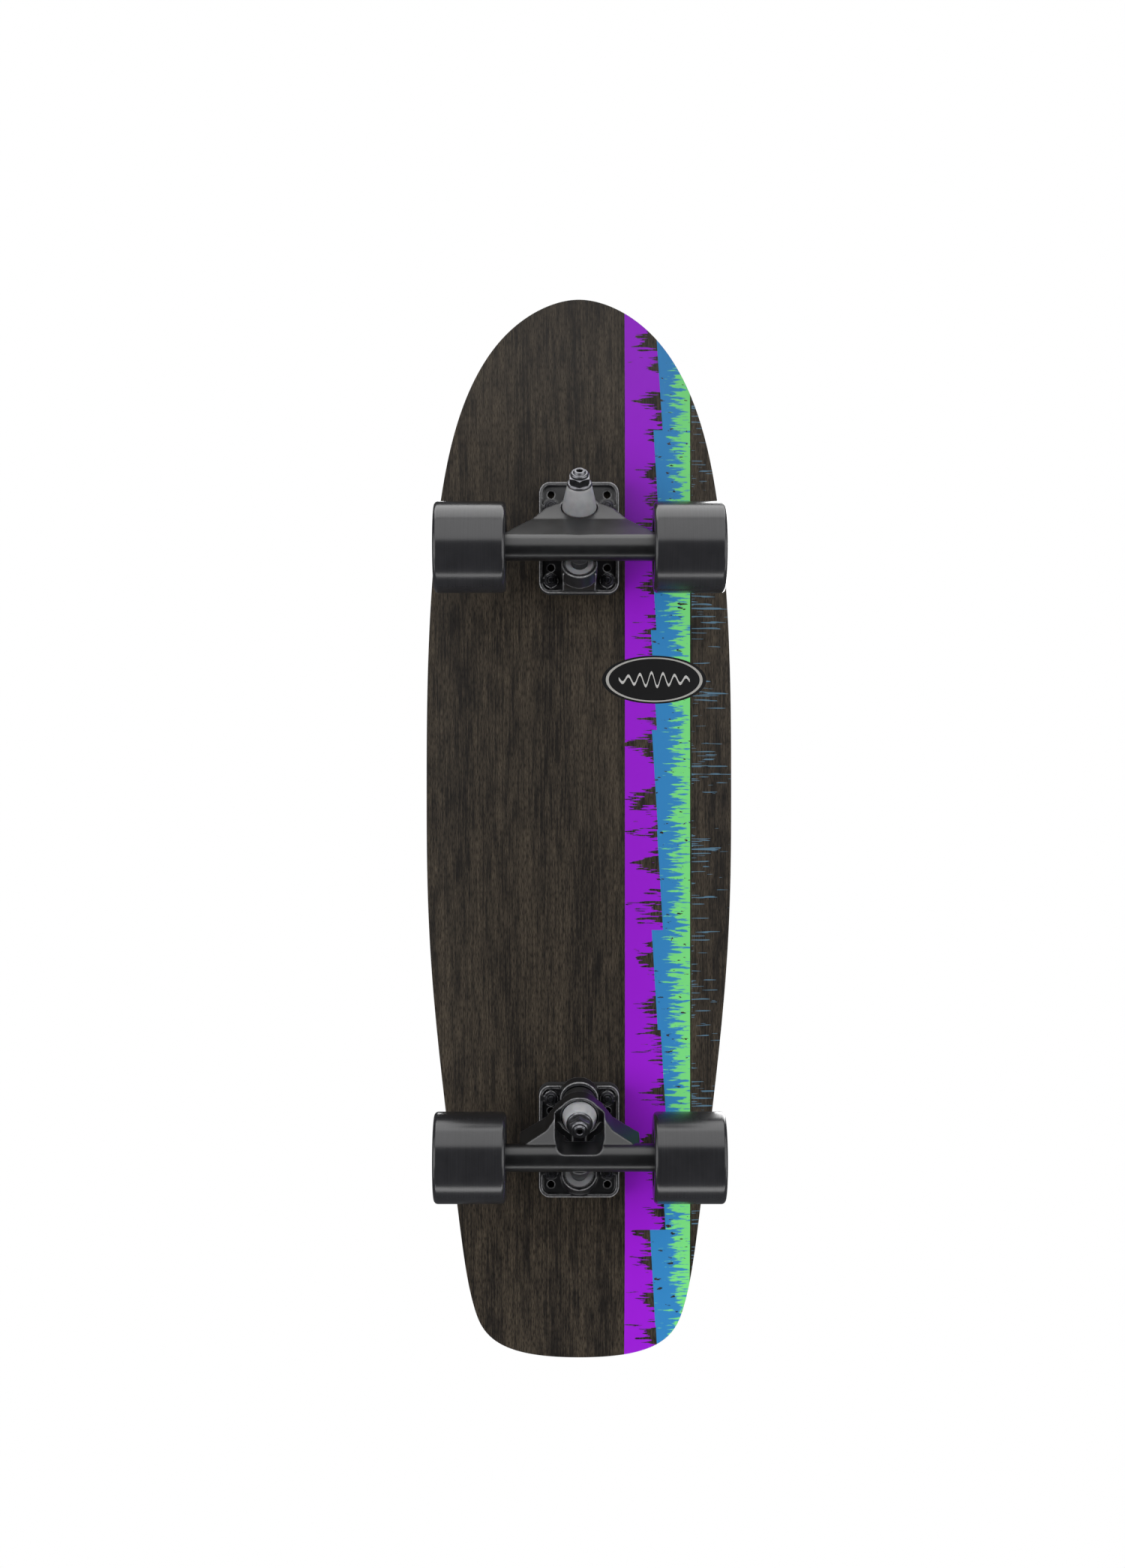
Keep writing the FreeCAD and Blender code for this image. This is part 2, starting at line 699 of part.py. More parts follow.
def baseplate(truck):
    """A cast tray with hole bosses, a sloped kingpin seat and a tower for the pivot cup."""
    body = new_body(f"{truck}_baseplate")
    underside = ("0", "0", "-plate_thickness")
    flange = new_sketch(body, f"{truck}_flange_plan")
    rounded_rectangle(flange, "plate_width / 2", "plate_length / 2", "plate_corner")
    extrude("Pad", body, flange, f"{truck}_flange", "plate_thickness", backwards=True)

    tray = new_sketch(body, f"{truck}_tray_plan", at=underside)
    rounded_rectangle(
        tray,
        "plate_width / 2 - plate_rim",
        "plate_length / 2 - plate_rim",
        "plate_corner - plate_rim",
    )
    extrude("Pocket", body, tray, f"{truck}_tray", "plate_tray_depth", backwards=True)

    bosses = new_sketch(body, f"{truck}_boss_plan", at=underside)
    for out in ("outer_bolt_out", "inner_bolt_out"):
        for side in ("1", "-1"):
            circle(bosses, f"{side} * bolt_spacing / 2", out, "plate_hole_boss")
    extrude("Pad", body, bosses, f"{truck}_bosses", "plate_thickness - bolt_clearance")

    rib = new_sketch(body, f"{truck}_rib_side", "YZ_Plane")
    if truck == "front":
        points = [
            beside_kingpin(truck, "seat_boss_radius - rib_seat_near", "-seat_along"),
            beside_kingpin(truck, "-seat_boss_radius + rib_seat_far", "-seat_along"),
            ("front_pivot_out + rib_tower_out", "-front_pivot_down + rib_tower_up"),
            ("front_pivot_out - rib_tip_in", "-front_pivot_down - rib_tip_down"),
            ("-plate_length / 2 + rib_heel_inset", "-front_pivot_down + rib_heel_up"),
            ("-plate_length / 2 + rib_foot_inset", "-plate_thickness / 2"),
            ("rib_toe_out", "-plate_thickness / 2"),
        ]
    else:
        points = [
            beside_kingpin(truck, "seat_boss_radius - rear_rib_seat_near", "-seat_along"),
            beside_kingpin(truck, "0", "-seat_along"),
            (f"{truck}_ring_out", "-plate_thickness / 2"),
            (f"{truck}_pivot_out", "-plate_thickness / 2"),
            (f"{truck}_pivot_out", f"-{truck}_pivot_down"),
        ]
    outline(rib, points)
    extrude("Pad", body, rib, f"{truck}_rib", f"2 * {truck}_rib_half", symmetric=True)

    tilt = f"{truck}_kingpin_tilt"
    back = f"({truck}_head_along + kingpin_head_height)"
    boss_foot = (
        "0",
        f"{truck}_ring_out - {back} * sin({tilt})",
        f"-{truck}_ring_down + {back} * cos({tilt})",
    )
    primitive(
        "AdditiveCylinder", body, f"{truck}_seat_boss", boss_foot, f"180 + {tilt}",
        Radius="seat_boss_radius", Height=f"{back} - seat_along",
    )

    pivot = ("0", f"{truck}_pivot_out", f"-{truck}_pivot_down")
    away = f"{truck}_stem_turn"
    towards = f"180 + {truck}_stem_turn"
    primitive(
        "AdditiveCylinder", body, f"{truck}_tower", pivot, away,
        Radius="tower_radius", Height="tower_back",
    )

    above = new_sketch(body, f"{truck}_above_plan")
    rounded_rectangle(above, "plate_width", "plate_length", "plate_corner")
    extrude("Pocket", body, above, f"{truck}_above", "plate_length", backwards=True)

    # Room for the washer and the bushing where they lean over the flange
    seat = (
        "0",
        f"{truck}_ring_out - seat_along * sin({tilt})",
        f"-{truck}_ring_down + seat_along * cos({tilt})",
    )
    primitive(
        "SubtractiveCylinder", body, f"{truck}_washer_room", seat, f"180 + {tilt}",
        Radius="board_washer_radius + washer_gap", Height="board_bushing_height",
    )

    pocket_radius = "cup_radius + cup_fit_gap"
    primitive("SubtractiveSphere", body, f"{truck}_cup_bowl", pivot, Radius=pocket_radius)
    primitive(
        "SubtractiveCylinder", body, f"{truck}_cup_mouth", pivot, towards,
        Radius=pocket_radius, Height="tower_back",
    )

    bore_foot = (
        "0",
        f"{truck}_ring_out - 2 * {back} * sin({tilt})",
        f"-{truck}_ring_down + 2 * {back} * cos({tilt})",
    )
    primitive(
        "SubtractiveCylinder", body, f"{truck}_kingpin_bore", bore_foot, f"180 + {tilt}",
        Radius="kingpin_diameter / 2 + kingpin_bore_gap", Height=f"2 * {back} - seat_along + 1",
    )
    primitive(
        "SubtractiveCylinder", body, f"{truck}_head_recess", bore_foot, f"180 + {tilt}",
        Radius="kingpin_head_flats / sqrt(3) + kingpin_bore_gap",
        Height=f"2 * {back} - {truck}_head_along",
    )

    holes = new_sketch(body, f"{truck}_hole_plan")
    plate_holes(holes, "bolt_diameter / 2 + bolt_clearance")
    extrude("Pocket", body, holes, f"{truck}_holes", "plate_thickness + 1")
    in_truck(body, truck)


def pivot_cup(truck):
    """A thick urethane half-shell; its Z axis points at the axle."""
    body = new_body(f"{truck}_pivot_cup")
    inner = "pivot_radius + pivot_gap"
    points = [("0", "-cup_radius"), ("cup_radius", "0"), (inner, "0"), ("0", f"-({inner})")]
    revolve(body, f"{truck}_cup", [points], {0: ("cup_radius", 1), 2: (inner, -1)})
    turned_in_truck(
        body, truck, f"{truck}_pivot_out", f"{truck}_pivot_down", f"180 + {truck}_stem_turn"
    )


def kingpin(truck):
    body = new_body(f"{truck}_kingpin")
    radius = "kingpin_diameter / 2"
    tip = f"{truck}_tip_along"
    points = [
        ("0", f"-{truck}_head_along"),
        (radius, f"-{truck}_head_along"),
        (radius, f"{tip} - 1"),
        (f"{radius} - 1", tip),
        ("kingpin_center_hole", tip),
        ("0", f"{tip} - kingpin_center_hole"),
    ]
    revolve(body, f"{truck}_shank", [points])
    plan = new_sketch(body, f"{truck}_head_plan", at=("0", "0", f"-{truck}_head_along"))
    hexagon(plan, "0", "0", "kingpin_head_flats")
    extrude("Pad", body, plan, f"{truck}_head", "kingpin_head_height", backwards=True)
    on_kingpin(body, truck)


def kingpin_stack(truck):
    """The washers, bushings and nut, threaded on the kingpin either side of the ring."""
    bore = "kingpin_diameter / 2 + bushing_bore_gap"
    face = "bushing_face_along"
    edge = "bushing_edge"

    washer = new_body(f"{truck}_board_washer")
    low = "-seat_along"
    high = "-seat_along + board_washer_thickness"
    revolve(washer, f"{truck}_lower_washer", [ring(bore, "board_washer_radius", low, high)])

    lower = new_body(f"{truck}_board_bushing")
    low, high = high, f"-{face}"
    points = [
        (bore, low), (f"bushing_radius - {edge}", low), ("bushing_radius", f"{low} + {edge}"),
        ("bushing_radius", f"{high} - {edge}"), (f"bushing_radius - {edge}", high), (bore, high),
    ]
    revolve(lower, f"{truck}_lower_bushing", [points])

    upper = new_body(f"{truck}_road_bushing")
    top = f"{face} + {truck}_road_bushing_height"
    top_radius = f"{truck}_road_bushing_top"
    points = [
        (bore, face), (f"bushing_radius - {edge}", face), ("bushing_radius", f"{face} + {edge}"),
        ("bushing_radius", f"{face} + 2 * {edge}"), (top_radius, f"{top} - {edge}"),
        (f"{top_radius} - {edge}", top), (bore, top),
    ]
    revolve(upper, f"{truck}_upper_bushing", [points])

    cap = new_body(f"{truck}_road_washer")
    nut_face = f"{truck}_nut_along"
    rim = f"{truck}_road_washer_radius"
    points = [
        (bore, top), (rim, top), (rim, f"{top} + road_washer_lip"),
        (f"{rim} - road_washer_lip", nut_face), (bore, nut_face),
    ]
    revolve(cap, f"{truck}_upper_washer", [points])

    nut = new_body(f"{truck}_kingpin_nut")
    plan = new_sketch(nut, f"{truck}_nut_plan", at=("0", "0", nut_face))
    hexagon(plan, "0", "0", "kingpin_head_flats")
    circle(plan, "0", "0", "kingpin_diameter / 2")
    extrude("Pad", nut, plan, f"{truck}_nut", "kingpin_nut_height")
    for body in (washer, lower, upper, cap, nut):
        on_kingpin(body, truck)


# ---------------------------------------------------------------- truck: hanger and axle


def ring_and_bores(body, truck):
    """The recessed kingpin ring and the axle's bore, cut once the casting is whole."""
    center = ("0", f"{truck}_ring_out", f"-{truck}_ring_down")
    turn = f"180 + {truck}_kingpin_tilt"
    half = "ring_thickness / 2"
    for name, sign, backwards in (("road", "1", False), ("board", "-1", True)):
        tilt = f"{truck}_kingpin_tilt"
        at = (
            "0",
            f"{truck}_ring_out + {sign} * {half} * sin({tilt})",
            f"-{truck}_ring_down - {sign} * {half} * cos({tilt})",
        )
        seat = new_sketch(body, f"{truck}_{name}_seat_plan", at=at, turn=turn)
        circle(seat, "0", "0", "bushing_radius + bushing_seat_gap")
        extrude("Pocket", body, seat, f"{truck}_{name}_seat", "ring_recess", backwards=backwards)
    hole = new_sketch(body, f"{truck}_ring_bore_plan", at=center, turn=turn)
    circle(hole, "0", "0", "ring_bore_radius")
    extrude("Pocket", body, hole, f"{truck}_ring_bore", "ring_thickness + 2", symmetric=True)
    bore = new_sketch(body, f"{truck}_axle_bore_plan", "YZ_Plane")
    circle(bore, f"{truck}_axle_out", f"-{truck}_axle_down", "axle_bore_radius")
    extrude("Pocket", body, bore, f"{truck}_axle_bore", "hanger_width + 2", symmetric=True)


def bar_and_pivot(body, truck):
    """The axle bar, the stem that leaves it and the ball-ended pivot."""
    bar = new_sketch(body, f"{truck}_bar_side", "YZ_Plane")
    circle(bar, f"{truck}_axle_out", f"-{truck}_axle_down", f"{truck}_bar_radius")
    extrude("Pad", body, bar, f"{truck}_bar", "hanger_width", symmetric=True)
    root = ("0", f"{truck}_axle_out", f"-{truck}_axle_down")
    turn = f"{truck}_stem_turn"
    primitive(
        "AdditiveCone", body, f"{truck}_stem", root, turn,
        Radius1=f"{truck}_stem_root", Radius2="stem_neck",
        Height=f"{truck}_stem_length - pivot_radius",
    )
    primitive(
        "AdditiveCylinder", body, f"{truck}_pivot_neck", root, turn,
        Radius="pivot_radius", Height=f"{truck}_stem_length",
    )
    tip = ("0", f"{truck}_pivot_out", f"-{truck}_pivot_down")
    primitive("AdditiveSphere", body, f"{truck}_pivot_ball", tip, Radius="pivot_radius")


def ring_boss(body, truck):
    center = ("0", f"{truck}_ring_out", f"-{truck}_ring_down")
    plan = new_sketch(body, f"{truck}_ring_plan", at=center, turn=f"180 + {truck}_kingpin_tilt")
    circle(plan, "0", "0", "ring_radius")
    extrude("Pad", body, plan, f"{truck}_ring", "ring_thickness", symmetric=True)


def mirrored(points):
    """A closed outline from its right half, listed from one end of the axis to the other."""
    return points + [(f"-({x})", y) for x, y in reversed(points)]


def front_hanger():
    """A flat web square to the kingpin, flaring from the ring to the axle bar."""
    body = new_body("front_hanger")
    tilt = "front_kingpin_tilt"
    # How far the bar lies across from the ring, in the web's plane
    reach = (
        f"((front_ring_out - front_axle_out) * cos({tilt})"
        f" + (front_axle_down - front_ring_down) * sin({tilt}))"
    )
    center = ("0", "front_ring_out", "-front_ring_down")
    web = new_sketch(body, "front_web_plan", at=center, turn=f"180 + {tilt}")
    half = [
        ("ring_radius * 0.8", "-ring_radius / 2"),
        ("front_web_neck_half", "0"),
        ("front_web_neck_half + 10", f"{reach} / 3"),
        ("front_web_bar_half", f"{reach} - front_bar_radius / 2"),
        ("front_web_bar_half", reach),
    ]
    outline(web, mirrored(half))
    extrude("Pad", body, web, "front_web", "2 * front_bar_radius", symmetric=True)

    # The road side runs straight from the ring's edge to the bar; the board side is hollowed
    side = new_sketch(body, "front_web_side", "YZ_Plane")
    flush = "front_bar_radius + web_bar_rise"
    kept = [
        ("ring_radius", "ring_thickness / 2"),
        ("-ring_radius", "ring_thickness / 2"),
        (f"-{reach}", flush),
        (f"-{reach} - 1", flush),
        (f"-{reach} - 1", "-front_web_thickness / 2"),
        ("ring_radius", "-front_web_thickness / 2"),
    ]
    outline(side, [beside_kingpin("front", a, b) for a, b in kept])
    far = "hanger_width"
    outline(side, [(f"-{far}", f"-{far}"), (far, f"-{far}"), (far, far), (f"-{far}", far)])
    extrude("Pocket", body, side, "front_web_sides", "2 * hanger_width", symmetric=True)
    ring_boss(body, "front")
    bar_and_pivot(body, "front")
    ring_and_bores(body, "front")
    in_truck(body, "front")


def rear_hanger():
    """A yoke that rises from the ring to the bar, scooped out around the kingpin's nut."""
    body = new_body("rear_hanger")
    tilt = "rear_kingpin_tilt"
    # The bar seen from the ring, across the kingpin and along it
    across = (
        f"((rear_axle_out - rear_ring_out) * cos({tilt})"
        f" - (rear_axle_down - rear_ring_down) * sin({tilt}))"
    )
    along = (
        f"((rear_axle_out - rear_ring_out) * sin({tilt})"
        f" + (rear_axle_down - rear_ring_down) * cos({tilt}))"
    )
    radius = "rear_bar_radius"
    half_ring = "ring_thickness / 2"

    def at_along(distance):
        return (
            "0",
            f"rear_ring_out + ({distance}) * sin({tilt})",
            f"-rear_ring_down - ({distance}) * cos({tilt})",
        )

    yoke = new_sketch(body, "rear_yoke_plan", at=at_along(f"-{half_ring}"), turn=f"180 + {tilt}")
    half = [
        ("rear_yoke_bar_half", f"-{across} - {radius} / 2"),
        ("rear_yoke_bar_half", f"-{across} + {radius} * 0.8"),
        ("rear_yoke_neck_half", "-1.5"),
        ("ring_radius * 0.7", "ring_radius * 0.7"),
    ]
    outline(yoke, mirrored(half))
    extrude("Pad", body, yoke, "rear_yoke", f"{along} + {half_ring}")

    side = new_sketch(body, "rear_yoke_side", "YZ_Plane")
    kept = [
        ("-ring_radius", f"-{half_ring}"),
        ("-ring_radius + rear_yoke_root", f"-{half_ring}"),
        (f"{across} + {radius} - 1", f"{along} - {radius} / 2"),
        (f"{across} + {radius} - 1", along),
        (across, f"{along} + {radius} - 1"),
        (f"{across} - {radius} + 1", along),
        ("-ring_radius + 3", half_ring),
        ("-ring_radius", half_ring),
    ]
    outline(side, [beside_kingpin("rear", a, b) for a, b in kept])
    far = "hanger_width"
    outline(side, [(f"-{far}", f"-{far}"), (far, f"-{far}"), (far, far), (f"-{far}", far)])
    extrude("Pocket", body, side, "rear_yoke_sides", "2 * hanger_width", symmetric=True)

    ring_boss(body, "rear")
    bar_and_pivot(body, "rear")

    room = new_sketch(body, "rear_bushing_room_plan", at=at_along(half_ring), turn=f"180 + {tilt}")
    circle(room, "0", "0", "ring_radius")
    depth = "rear_road_bushing_height + road_washer_thickness"
    extrude("Pocket", body, room, "rear_bushing_room", depth, backwards=True)

    scoop = new_sketch(body, "rear_scoop_plan", at=at_along(half_ring), turn=f"180 + {tilt}")
    wide, reach, corner = "rear_scoop_half", "rear_scoop_reach", "rear_scoop_corner"
    points = [
        (f"-{wide} + {corner}", f"-{reach}"), (f"{wide} - {corner}", f"-{reach}"),
        (wide, f"-{reach} + {corner}"), (wide, "2 * ring_radius"),
        (f"-{wide}", "2 * ring_radius"), (f"-{wide}", f"-{reach} + {corner}"),
    ]
    outline(scoop, points, {1: (corner, 1), 5: (corner, 1)})
    extrude("Pocket", body, scoop, "rear_scoop", f"{along} + 2 * {radius}", backwards=True)
    ring_and_bores(body, "rear")
    in_truck(body, "rear")


def axle_line(truck):
    """The axle and everything clamped on it, which stays still while the wheels turn."""
    bore = "axle_bore_radius"
    axle = new_body(f"{truck}_axle")
    radius = "axle_diameter / 2"
    half = "axle_length / 2"
    chamfer = "axle_end_chamfer"
    points = [
        ("0", f"-{half}"), (f"{radius} - {chamfer}", f"-{half}"),
        (radius, f"-{half} + {chamfer}"), (radius, f"{half} - {chamfer}"),
        (f"{radius} - {chamfer}", half), ("0", half),
    ]
    revolve(axle, f"{truck}_axle_rod", [points])

    rings = new_body(f"{truck}_speed_rings")
    spacers = new_body(f"{truck}_bearing_spacers")
    races = new_body(f"{truck}_inner_races")
    nuts = new_body(f"{truck}_axle_nuts")
    ring_loops, spacer_loops, race_loops = [], [], []
    land = "bearing_inner_land"
    for sign in SIDES.values():
        for low in ("hanger_width / 2", "axle_nut_x - speed_ring_thickness"):
            high = f"{low} + speed_ring_thickness"
            faces = [f"{sign} * ({low})", f"{sign} * ({high})"]
            ring_loops.append(ring(bore, "speed_ring_radius", *faces))
        low = f"{sign} * (wheel_center_x - spacer_length / 2)"
        high = f"{sign} * (wheel_center_x + spacer_length / 2)"
        spacer_loops.append(ring(bore, "spacer_radius", low, high))
        for middle in ("inner_bearing_x", "outer_bearing_x"):
            middle = f"{sign} * {middle}"
            race_loops.append([
                (bore, f"{middle} - bearing_width / 2"), (land, f"{middle} - bearing_width / 2"),
                (land, f"{middle} - inner_groove_half"), (land, f"{middle} + inner_groove_half"),
                (land, f"{middle} + bearing_width / 2"), (bore, f"{middle} + bearing_width / 2"),
            ])
        face = "axle_nut_x" if sign == "1" else "-axle_nut_x - axle_nut_height"
        side = "left" if sign == "1" else "right"
        plan = new_sketch(nuts, f"{truck}_{side}_nut_plan", at=("0", "0", face))
        hexagon(plan, "0", "0", "axle_nut_flats")
        circle(plan, "0", "0", bore)
        extrude("Pad", nuts, plan, f"{truck}_{side}_nut", "axle_nut_height")
    revolve(rings, f"{truck}_rings", ring_loops)
    revolve(spacers, f"{truck}_spacers", spacer_loops)
    # The third edge of each race is its ball groove
    revolve(races, f"{truck}_races", race_loops, {2: ("groove_radius", -1)})
    for body in (axle, rings, spacers, races, nuts):
        on_axle(body, truck)


# ---------------------------------------------------------------- wheels


def repeat_around(body, feature):
    """Copy a ball or its pocket round the body's Z axis."""
    around = body.newObject("PartDesign::PolarPattern", f"{feature.Name}_around")
    around.Originals = [feature]
    spin = next(part for part in body.Origin.OriginFeatures if part.Role == "Z_Axis")
    around.Axis = (spin, [""])
    around.Angle = 360
    bind(around, Occurrences="ball_count")
    body.Tip = around


def wheel(truck, side):
    """A poured urethane tyre on a moulded core, running on two ball bearings."""
    corner = f"{truck}_{side}"
    tyre = new_body(f"{corner}_tyre")
    lip = "wheel_lip_radius"
    half = [
        ("core_radius", "core_half"),
        ("hub_throat_radius", "core_half"),
        ("hub_mouth_radius", "wheel_half - wheel_face_step"),
        ("hub_mouth_radius + wheel_face_step", "wheel_half"),
        (f"wheel_radius - {lip}", "wheel_half"),
        ("wheel_radius", f"wheel_half - {lip}"),
    ]
    points = half + [(x, f"-({z})") for x, z in reversed(half)]
    revolve(tyre, f"{corner}_tyre_solid", [points], {4: (lip, -1), 6: (lip, -1)})

    core = new_body(f"{corner}_core")
    seat = "bearing_outer_radius"
    half = [
        ("core_radius", "core_half"), (seat, "core_half"),
        (seat, "spacer_length / 2"), ("core_web_bore", "spacer_length / 2"),
    ]
    points = half + [(x, f"-({z})") for x, z in reversed(half)]
    revolve(core, f"{corner}_core_solid", [points])

    outer = new_body(f"{corner}_outer_races")
    shields = new_body(f"{corner}_bearing_shields")
    cages = new_body(f"{corner}_ball_cages")
    land = "bearing_outer_land"
    race_loops, shield_loops, cage_loops = [], [], []
    for sign in ("1", "-1"):
        middle = f"{sign} * bearing_offset"
        race_loops.append([
            (seat, f"{middle} - bearing_width / 2"), (land, f"{middle} - bearing_width / 2"),
            (land, f"{middle} - outer_groove_half"), (land, f"{middle} + outer_groove_half"),
            (land, f"{middle} + bearing_width / 2"), (seat, f"{middle} + bearing_width / 2"),
        ])
        for face in ("1", "-1"):
            outside = f"{middle} + {face} * (bearing_width / 2 - shield_inset)"
            inside = f"{outside} - {face} * shield_thickness"
            shield_loops.append(ring("bearing_inner_land + shield_gap", land, inside, outside))
        cage_loops.append(ring(
            "ball_pitch_radius - cage_wall / 2", "ball_pitch_radius + cage_wall / 2",
            f"{middle} - cage_width / 2", f"{middle} + cage_width / 2",
        ))
    revolve(outer, f"{corner}_races", race_loops, {2: ("groove_radius", 1)})
    revolve(shields, f"{corner}_shields", shield_loops)
    revolve(cages, f"{corner}_cages", cage_loops)

    balls = new_body(f"{corner}_bearing_balls")
    for number, sign in enumerate(("1", "-1")):
        height = f"{sign} * bearing_offset"
        ball = primitive(
            "AdditiveSphere", balls, f"{corner}_ball_{number}", ("0", "ball_pitch_radius", height),
            Radius="ball_diameter / 2",
        )
        # A ball's pocket is a hole drilled through the cage's wall, towards the axle
        pocket = primitive(
            "SubtractiveCylinder", cages, f"{corner}_pocket_{number}",
            ("0", "ball_pitch_radius - cage_wall", height), "-90",
            Radius="ball_diameter / 2 + cage_pocket_gap", Height="2 * cage_wall",
        )
        doc.recompute()
        repeat_around(balls, ball)
        repeat_around(cages, pocket)
    for body in (tyre, core, outer, shields, cages, balls):
        on_axle(body, truck, side, "wheel_center_x")


def check_document():
    """Stop before writing anything if a feature failed or a piece isn't a good solid."""
    doc.recompute()
    faults = [item.Name for item in doc.Objects if {"Invalid", "Error"} & set(item.State)]
    for node in nodes:
        if node.Shape.isNull() or not node.Shape.isValid() or not node.Shape.Solids:
            faults.append(node.Label)
    if faults:
        raise RuntimeError("failed: " + ", ".join(faults))


fill_sheet()
deck_and_grip()
mounting_hardware()
for truck in ("front", "rear"):
    riser_pad(truck)
    baseplate(truck)
    pivot_cup(truck)
    kingpin(truck)
    kingpin_stack(truck)
    axle_line(truck)
    for side in SIDES:
        wheel(truck, side)
front_hanger()
rear_hanger()
check_document()

os.makedirs("parts", exist_ok=True)
for node in nodes:
    node.Shape.exportStep(f"parts/{node.Label}.step")
    print(f"{node.Label:32} {len(node.Shape.Solids):3} solids {node.Shape.Volume:12.1f} mm3")
print(len(nodes), "nodes")
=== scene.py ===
# %% [markdown]
# # A surf-style skateboard, seen from below
#
# The board is a seven-ply maple deck on two cast trucks with soft wheels. The CAD model gives every
# piece its place and its size. This lesson gives each one the shape and the finish that a maker
# would recognise: pressed plies, cast and coated metal, turned steel and poured urethane.
#
# The frame comes first. It brings in the CAD nodes, sets each one in world space and removes the
# rest of the import; the bodies that the new pieces ride on are made as empties when first needed.

# %% Load the frame
import math
import bmesh
import bpy
from mathutils import Matrix, Vector


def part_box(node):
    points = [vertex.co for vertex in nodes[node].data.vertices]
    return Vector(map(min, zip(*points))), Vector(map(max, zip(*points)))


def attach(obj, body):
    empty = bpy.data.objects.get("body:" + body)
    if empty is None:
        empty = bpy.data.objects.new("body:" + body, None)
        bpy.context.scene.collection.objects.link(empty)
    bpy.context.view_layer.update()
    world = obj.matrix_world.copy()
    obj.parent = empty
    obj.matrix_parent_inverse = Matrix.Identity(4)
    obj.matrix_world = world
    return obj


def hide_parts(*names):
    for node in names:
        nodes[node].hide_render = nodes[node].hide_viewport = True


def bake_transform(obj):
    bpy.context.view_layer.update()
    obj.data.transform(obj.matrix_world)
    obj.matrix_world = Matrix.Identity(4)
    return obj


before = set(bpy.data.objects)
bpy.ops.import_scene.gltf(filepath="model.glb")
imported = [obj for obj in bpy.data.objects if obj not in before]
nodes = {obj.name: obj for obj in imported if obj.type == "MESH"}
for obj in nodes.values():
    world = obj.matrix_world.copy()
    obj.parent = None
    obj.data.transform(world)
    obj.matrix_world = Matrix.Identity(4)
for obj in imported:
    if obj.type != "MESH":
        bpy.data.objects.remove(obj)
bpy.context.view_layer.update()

MM = 0.001

# %% [markdown]
# ## Camera
#
# The board is looked at straight from below with its nose up. A camera that far away, with a long
# lens, shows little of the wheels' inner sides but still lets the front wheels lean outwards.

# %% Camera
camera_data = bpy.data.cameras.new("camera")
camera_data.lens = 52.74
camera = bpy.data.objects.new("camera", camera_data)
camera.location = (-0.0122, -0.0341, -1.602)
camera.rotation_euler = (math.pi, 0, 0)
bpy.context.scene.collection.objects.link(camera)
bpy.context.scene.camera = camera
bpy.context.scene.view_settings.view_transform = "Standard"
print("camera stands", round(-camera.location.z, 2), "m under the floor line")

# %% [markdown]
# ## Node and colour helpers
#
# Paint makers and printers give colours as sRGB hex codes, while the shaders work in linear light,
# so one function turns one into the other. A second one adds any node with its settings and links.
# Sockets are given as a tuple in their order, or as a dictionary by name. A node given as a source
# stands for its first output, and a kind leaves out the "ShaderNode" that every kind begins with.

# %% Helpers for materials


def linear(code):
    """The linear colour of an sRGB hex code such as "8899AA"."""
    parts = [int(code[i:i + 2], 16) / 255 for i in (0, 2, 4)]
    return (*[p / 12.92 if p <= 0.04045 else ((p + 0.055) / 1.055) ** 2.4 for p in parts], 1)


def add(tree, kind, sockets=(), **settings):
    """Adds a node, sets it, and fills its sockets, in order or by name, from values or nodes."""
    node = tree.nodes.new("ShaderNode" + kind)
    for name, setting in settings.items():
        setattr(node, name, setting)
    for name, source in sockets.items() if isinstance(sockets, dict) else enumerate(sockets):
        if isinstance(source, bpy.types.Node):
            source = source.outputs[0]
        if isinstance(source, bpy.types.NodeSocket):
            tree.links.new(source, node.inputs[name])
        else:
            node.inputs[name].default_value = source
    return node


def new_material(name):
    """An empty material: its tree, and its place in millimetres as the first node."""
    material = bpy.data.materials.new(name)
    material.use_nodes = True
    tree = material.node_tree
    tree.nodes.clear()
    place = add(tree, "TexCoord")
    in_mm = add(tree, "Mapping", {"Vector": place.outputs["Object"],
                                            "Scale": (1 / MM, 1 / MM, 1 / MM)})
    return material, tree, in_mm


def close_material(tree, **sockets):
    """Ends a material with its Principled shader, whose sockets are given by name."""
    named = {name.replace("_", " "): source for name, source in sockets.items()}
    shader = add(tree, "BsdfPrincipled", named)
    add(tree, "OutputMaterial", {"Surface": shader})


def two_tone(tree, fac, low, high, start=0.3, end=0.7):
    """A colour that goes from one hex code to another as fac goes from start to end."""
    part = add(tree, "MapRange", {"Value": fac, "From Min": start, "From Max": end})
    return add(tree, "MixRGB", (part, linear(low), linear(high)))


print("a mid grey, 808080, is", round(linear("808080")[0], 3), "in linear light")

# %% [markdown]
# ## Light and floor
#
# A pale studio. Two large side boxes below the board light the deck evenly. The black coat and the
# urethane are glossy, so what they show is what stands round them: a tall slanted panel beyond the
# nose, in two halves, brighter at the back, and a narrow strip beyond the tail. The panel is for
# reflections only, because as a lamp it would light the nose more than the rest. A last box over
# the board is for the views from above. The floor is one-sided, a sheet that only shows its upper
# face, so that the underside can be looked at through it.

# %% World, lights and floor
world = bpy.data.worlds.new("pale studio")
bpy.context.scene.world = world
world.use_nodes = True
sky = world.node_tree
sky.nodes.clear()
seen = add(sky, "LightPath")
paper = add(sky, "Background", {"Color": linear("FFFFFF"), "Strength": 1.0})
ambient = add(sky, "Background", {"Color": linear("F4F6FA"), "Strength": 0.10})
chosen = add(sky, "MixShader", (seen.outputs["Is Camera Ray"], ambient, paper))
add(sky, "OutputWorld", {"Surface": chosen})


